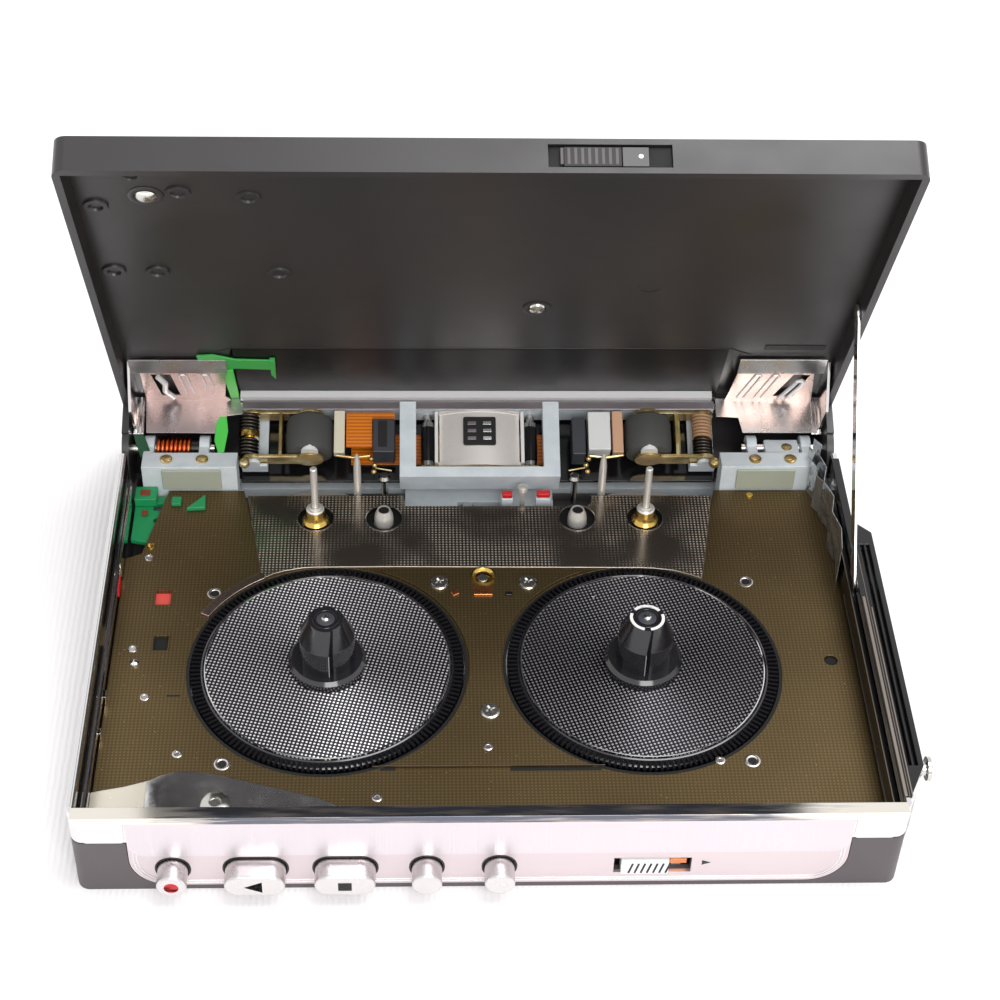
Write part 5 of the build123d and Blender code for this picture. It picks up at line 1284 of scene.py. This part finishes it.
carried("pinch_arm_right", chromate, 0.12)
for name, x in (("left", -ROLLER_X), ("right", ROLLER_X)):
    bm = bmesh.new()
    turned(bm, [(0.75, 8.5), (2.9, 8.5), (3.3, 8.75), (3.46, 9.4), (3.5, 11.4), (3.46, 13.4), (3.3, 14.05),
                (2.9, 14.3), (0.75, 14.3)], at(x, ROLLER_Y, 0), 48, closed=True)
    shape(f"pinch_roller_{name}_rubber", bm, roller_rubber, f"pinch_roller_{name}",
          lid=True, stands_for=(f"pinch_roller_{name}",))
    bm = bmesh.new()
    turned(bm, [(0.75, 8.2), (1.7, 8.2), (1.7, 8.5), (0.75, 8.5)], at(x, ROLLER_Y, 0), 28, closed=True)
    turned(bm, [(0.75, 14.3), (1.7, 14.3), (1.7, 14.5), (0.75, 14.5)], at(x, ROLLER_Y, 0), 28, closed=True)
    shape(f"pinch_roller_{name}_bush", bm, white_acetal, f"pinch_roller_{name}", lid=True)

# Tape head: crowned shell, dark window with two rows of bright bars, and lower and upper flanges
bm = bmesh.new()
outline = [(-5.9, 34.6), (5.9, 34.6)] + [(5.9 - 11.8 * i / 20, 30.0 + 0.4 + 14.0 - math.sqrt(
    196 - (5.9 - 11.8 * i / 20) ** 2)) for i in range(21)]
plate(bm, outline, (6.7, 15.4))
plate(bm, [(p[0] * 1.03, p[1] - 0.12) for p in outline], (6.45, 7.3))
plate(bm, [(p[0] * 1.02, p[1] - 0.06) for p in outline], (14.9, 15.45))
shape("tape_head_shell", bm, permalloy, "carriage", lid=True, edge=0.2,
      stands_for=("tape_head",))
bm = bmesh.new()
plate(bm, rounded((-2.4, 2.4), (9.5, 14.0), 0.3), (-30.42, -30.2), place=FRONT)
shape("head_window", bm, ink, "carriage", lid=True, edge=0.05)
bm = bmesh.new()
for z in (10.6, 11.8, 13.0):
    block(bm, (0.5, 1.75), (30.1, 30.24), (z - 0.26, z + 0.26))
shape("head_tracks_bright", bm, chrome, "carriage", lid=True, edge=0.04)
bm = bmesh.new()
for z in (10.6, 11.8, 13.0):
    block(bm, (-1.75, -0.5), (30.14, 30.24), (z - 0.26, z + 0.26))
shape("head_tracks_dull", bm, violet_steel, "carriage", lid=True, edge=0.04)
bm = bmesh.new()
for x in (6.1, -6.6):
    block(bm, (x, x + 0.5), (30.9, 33.0), (7.0, 15.2))
shape("head_side_cheeks", bm, white_acetal, "carriage", lid=True, edge=0.08)

# Guide posts: silver at the foot and top, black between
bm = bmesh.new()
for x in (-GUIDE_X, GUIDE_X):
    turned(bm, [(0.0, 5.3), (0.62, 5.3), (0.62, 7.2), (0.95, 7.3), (0.95, 8.0), (0.7, 8.1), (0.7, 13.4),
                (0.95, 13.5), (0.95, 14.2), (0.62, 14.3), (0.62, 15.6), (0.0, 15.6)], at(x, GUIDE_Y, 0), 24)
shape("guide_post_metal", bm, nickel, "carriage", lid=True, stands_for=("tape_guides",))
bm = bmesh.new()
for x in (-GUIDE_X, GUIDE_X):
    turned(bm, [(0.6, 8.1), (1.0, 8.1), (1.05, 10.7), (1.0, 13.4), (0.6, 13.4)], at(x, GUIDE_Y, 0), 24,
           closed=True)
shape("guide_post_sleeves", bm, hub_black, "carriage", lid=True)
bm = bmesh.new()
block(bm, (-8.7, 8.7), (30.45, 33.6), (6.05, 6.35))
shape("head_strip", bm, chromate, "carriage", lid=True, edge=0.08)

# Coils on the arms' pins: two wound one over the other, with a brass band between them on the left
for name, x, low, length, finish in (
        ("left_upper", ARM_LEFT_X, 12.3, 2.7, black_wire), ("left_lower", ARM_LEFT_X, 8.4, 2.8, black_wire),
        ("right_upper", ARM_RIGHT_X, 11.3, 3.7, tan_wire), ("right_lower", ARM_RIGHT_X, 8.6, 2.5,
                                                            black_wire)):
    grown(f"arm_coil_{name}", coil_tree, {
        "turns": round(length / 0.52), "coil radius": 1.25 * MM, "wire radius": 0.25 * MM,
        "coil length": length * MM, "coil turn": (LID_TURN, 0.0, 0.0),
        "coil place": tuple(LID @ Vector((x, ARM_Y, low)) * MM)}, finish, "carriage",
        stands_for=("arm_springs",) if name == "left_upper" else ())
bm = bmesh.new()
turned(bm, [(0.0, 11.25), (1.5, 11.25), (1.55, 11.7), (1.5, 12.15), (0.0, 12.15)],
       at(ARM_LEFT_X, ARM_Y, 0), 32)
for x in (ARM_LEFT_X, ARM_RIGHT_X):
    turned(bm, [(0.0, 8.0), (0.95, 8.0), (0.95, 15.1), (0.0, 15.1)], at(x, ARM_Y, 0), 24)
shape("arm_coil_cores", bm, brass, "carriage", lid=True)

# Floor, light and camera

bm = bmesh.new()
bmesh.ops.create_grid(bm, x_segments=1, y_segments=1, size=3.0)
backdrop = as_object("backdrop", bm)
backdrop.data.materials.append(cloth)

world = bpy.data.worlds.new("studio")
bpy.context.scene.world = world
world.use_nodes = True
tree = world.node_tree
path = add(tree, "ShaderNodeLightPath")
seen = add(tree, "ShaderNodeMath", {"operation": "MAXIMUM"},
           {0: path.outputs["Is Camera Ray"], 1: path.outputs["Is Glossy Ray"]})
seen = add(tree, "ShaderNodeMath", {"operation": "MAXIMUM"}, {0: seen,
        1: path.outputs["Is Transmission Ray"]})
add(tree, "ShaderNodeMapRange", {"To Min": 0.7, "To Max": 1.0}, {"Value": seen},
    tree.nodes["Background"].inputs["Strength"])
tree.nodes["Background"].inputs["Color"].default_value = (1.0, 1.0, 1.0, 1.0)


def lamp(name, place, aim, size, power):
    """A soft square lamp at a place, pointed at a spot, in metres and watts."""
    light = bpy.data.lights.new(name, "AREA")
    light.shape = "SQUARE"
    light.size = size
    light.energy = power
    holder = bpy.data.objects.new(name, light)
    holder.location = place
    holder.rotation_euler = (Vector(aim) - Vector(place)).to_track_quat("-Z", "Y").to_euler()
    bpy.context.scene.collection.objects.link(holder)


lamp("overhead_softbox", (0.22, 0.0, 0.8), (0, 0, 0), 0.45, 3.4)
lamp("front_softbox", (0.1, -0.6, 0.5), (0, 0, 0.01), 0.4, 2.8)

# Camera at the photo's viewing angle, from the fit that gave the sizes
camera = bpy.data.objects.new("camera", bpy.data.cameras.new("camera"))
camera_place = (-9.0016 * MM, -200.2174 * MM, 219.2941 * MM)
yaw, pitch, roll = 0.0529, 0.7539, 0.0349
forward = Vector((math.sin(yaw) * math.cos(pitch), math.cos(yaw) * math.cos(pitch), -math.sin(pitch)))
right = forward.cross(Vector((0, 0, 1))).normalized()
up = right.cross(forward)
rolled_right = right * math.cos(roll) + up * math.sin(roll)
rolled_up = up * math.cos(roll) - right * math.sin(roll)
camera.matrix_world = Matrix.Translation(camera_place) @ Matrix(
    (rolled_right, rolled_up, -forward)).transposed().to_4x4()
camera.data.sensor_width = 36.0
camera.data.lens = 76.056
camera.data.clip_start = 0.01
camera.data.clip_end = 20.0
bpy.context.scene.collection.objects.link(camera)
bpy.context.scene.camera = camera
bpy.context.scene.view_settings.view_transform = "Standard"
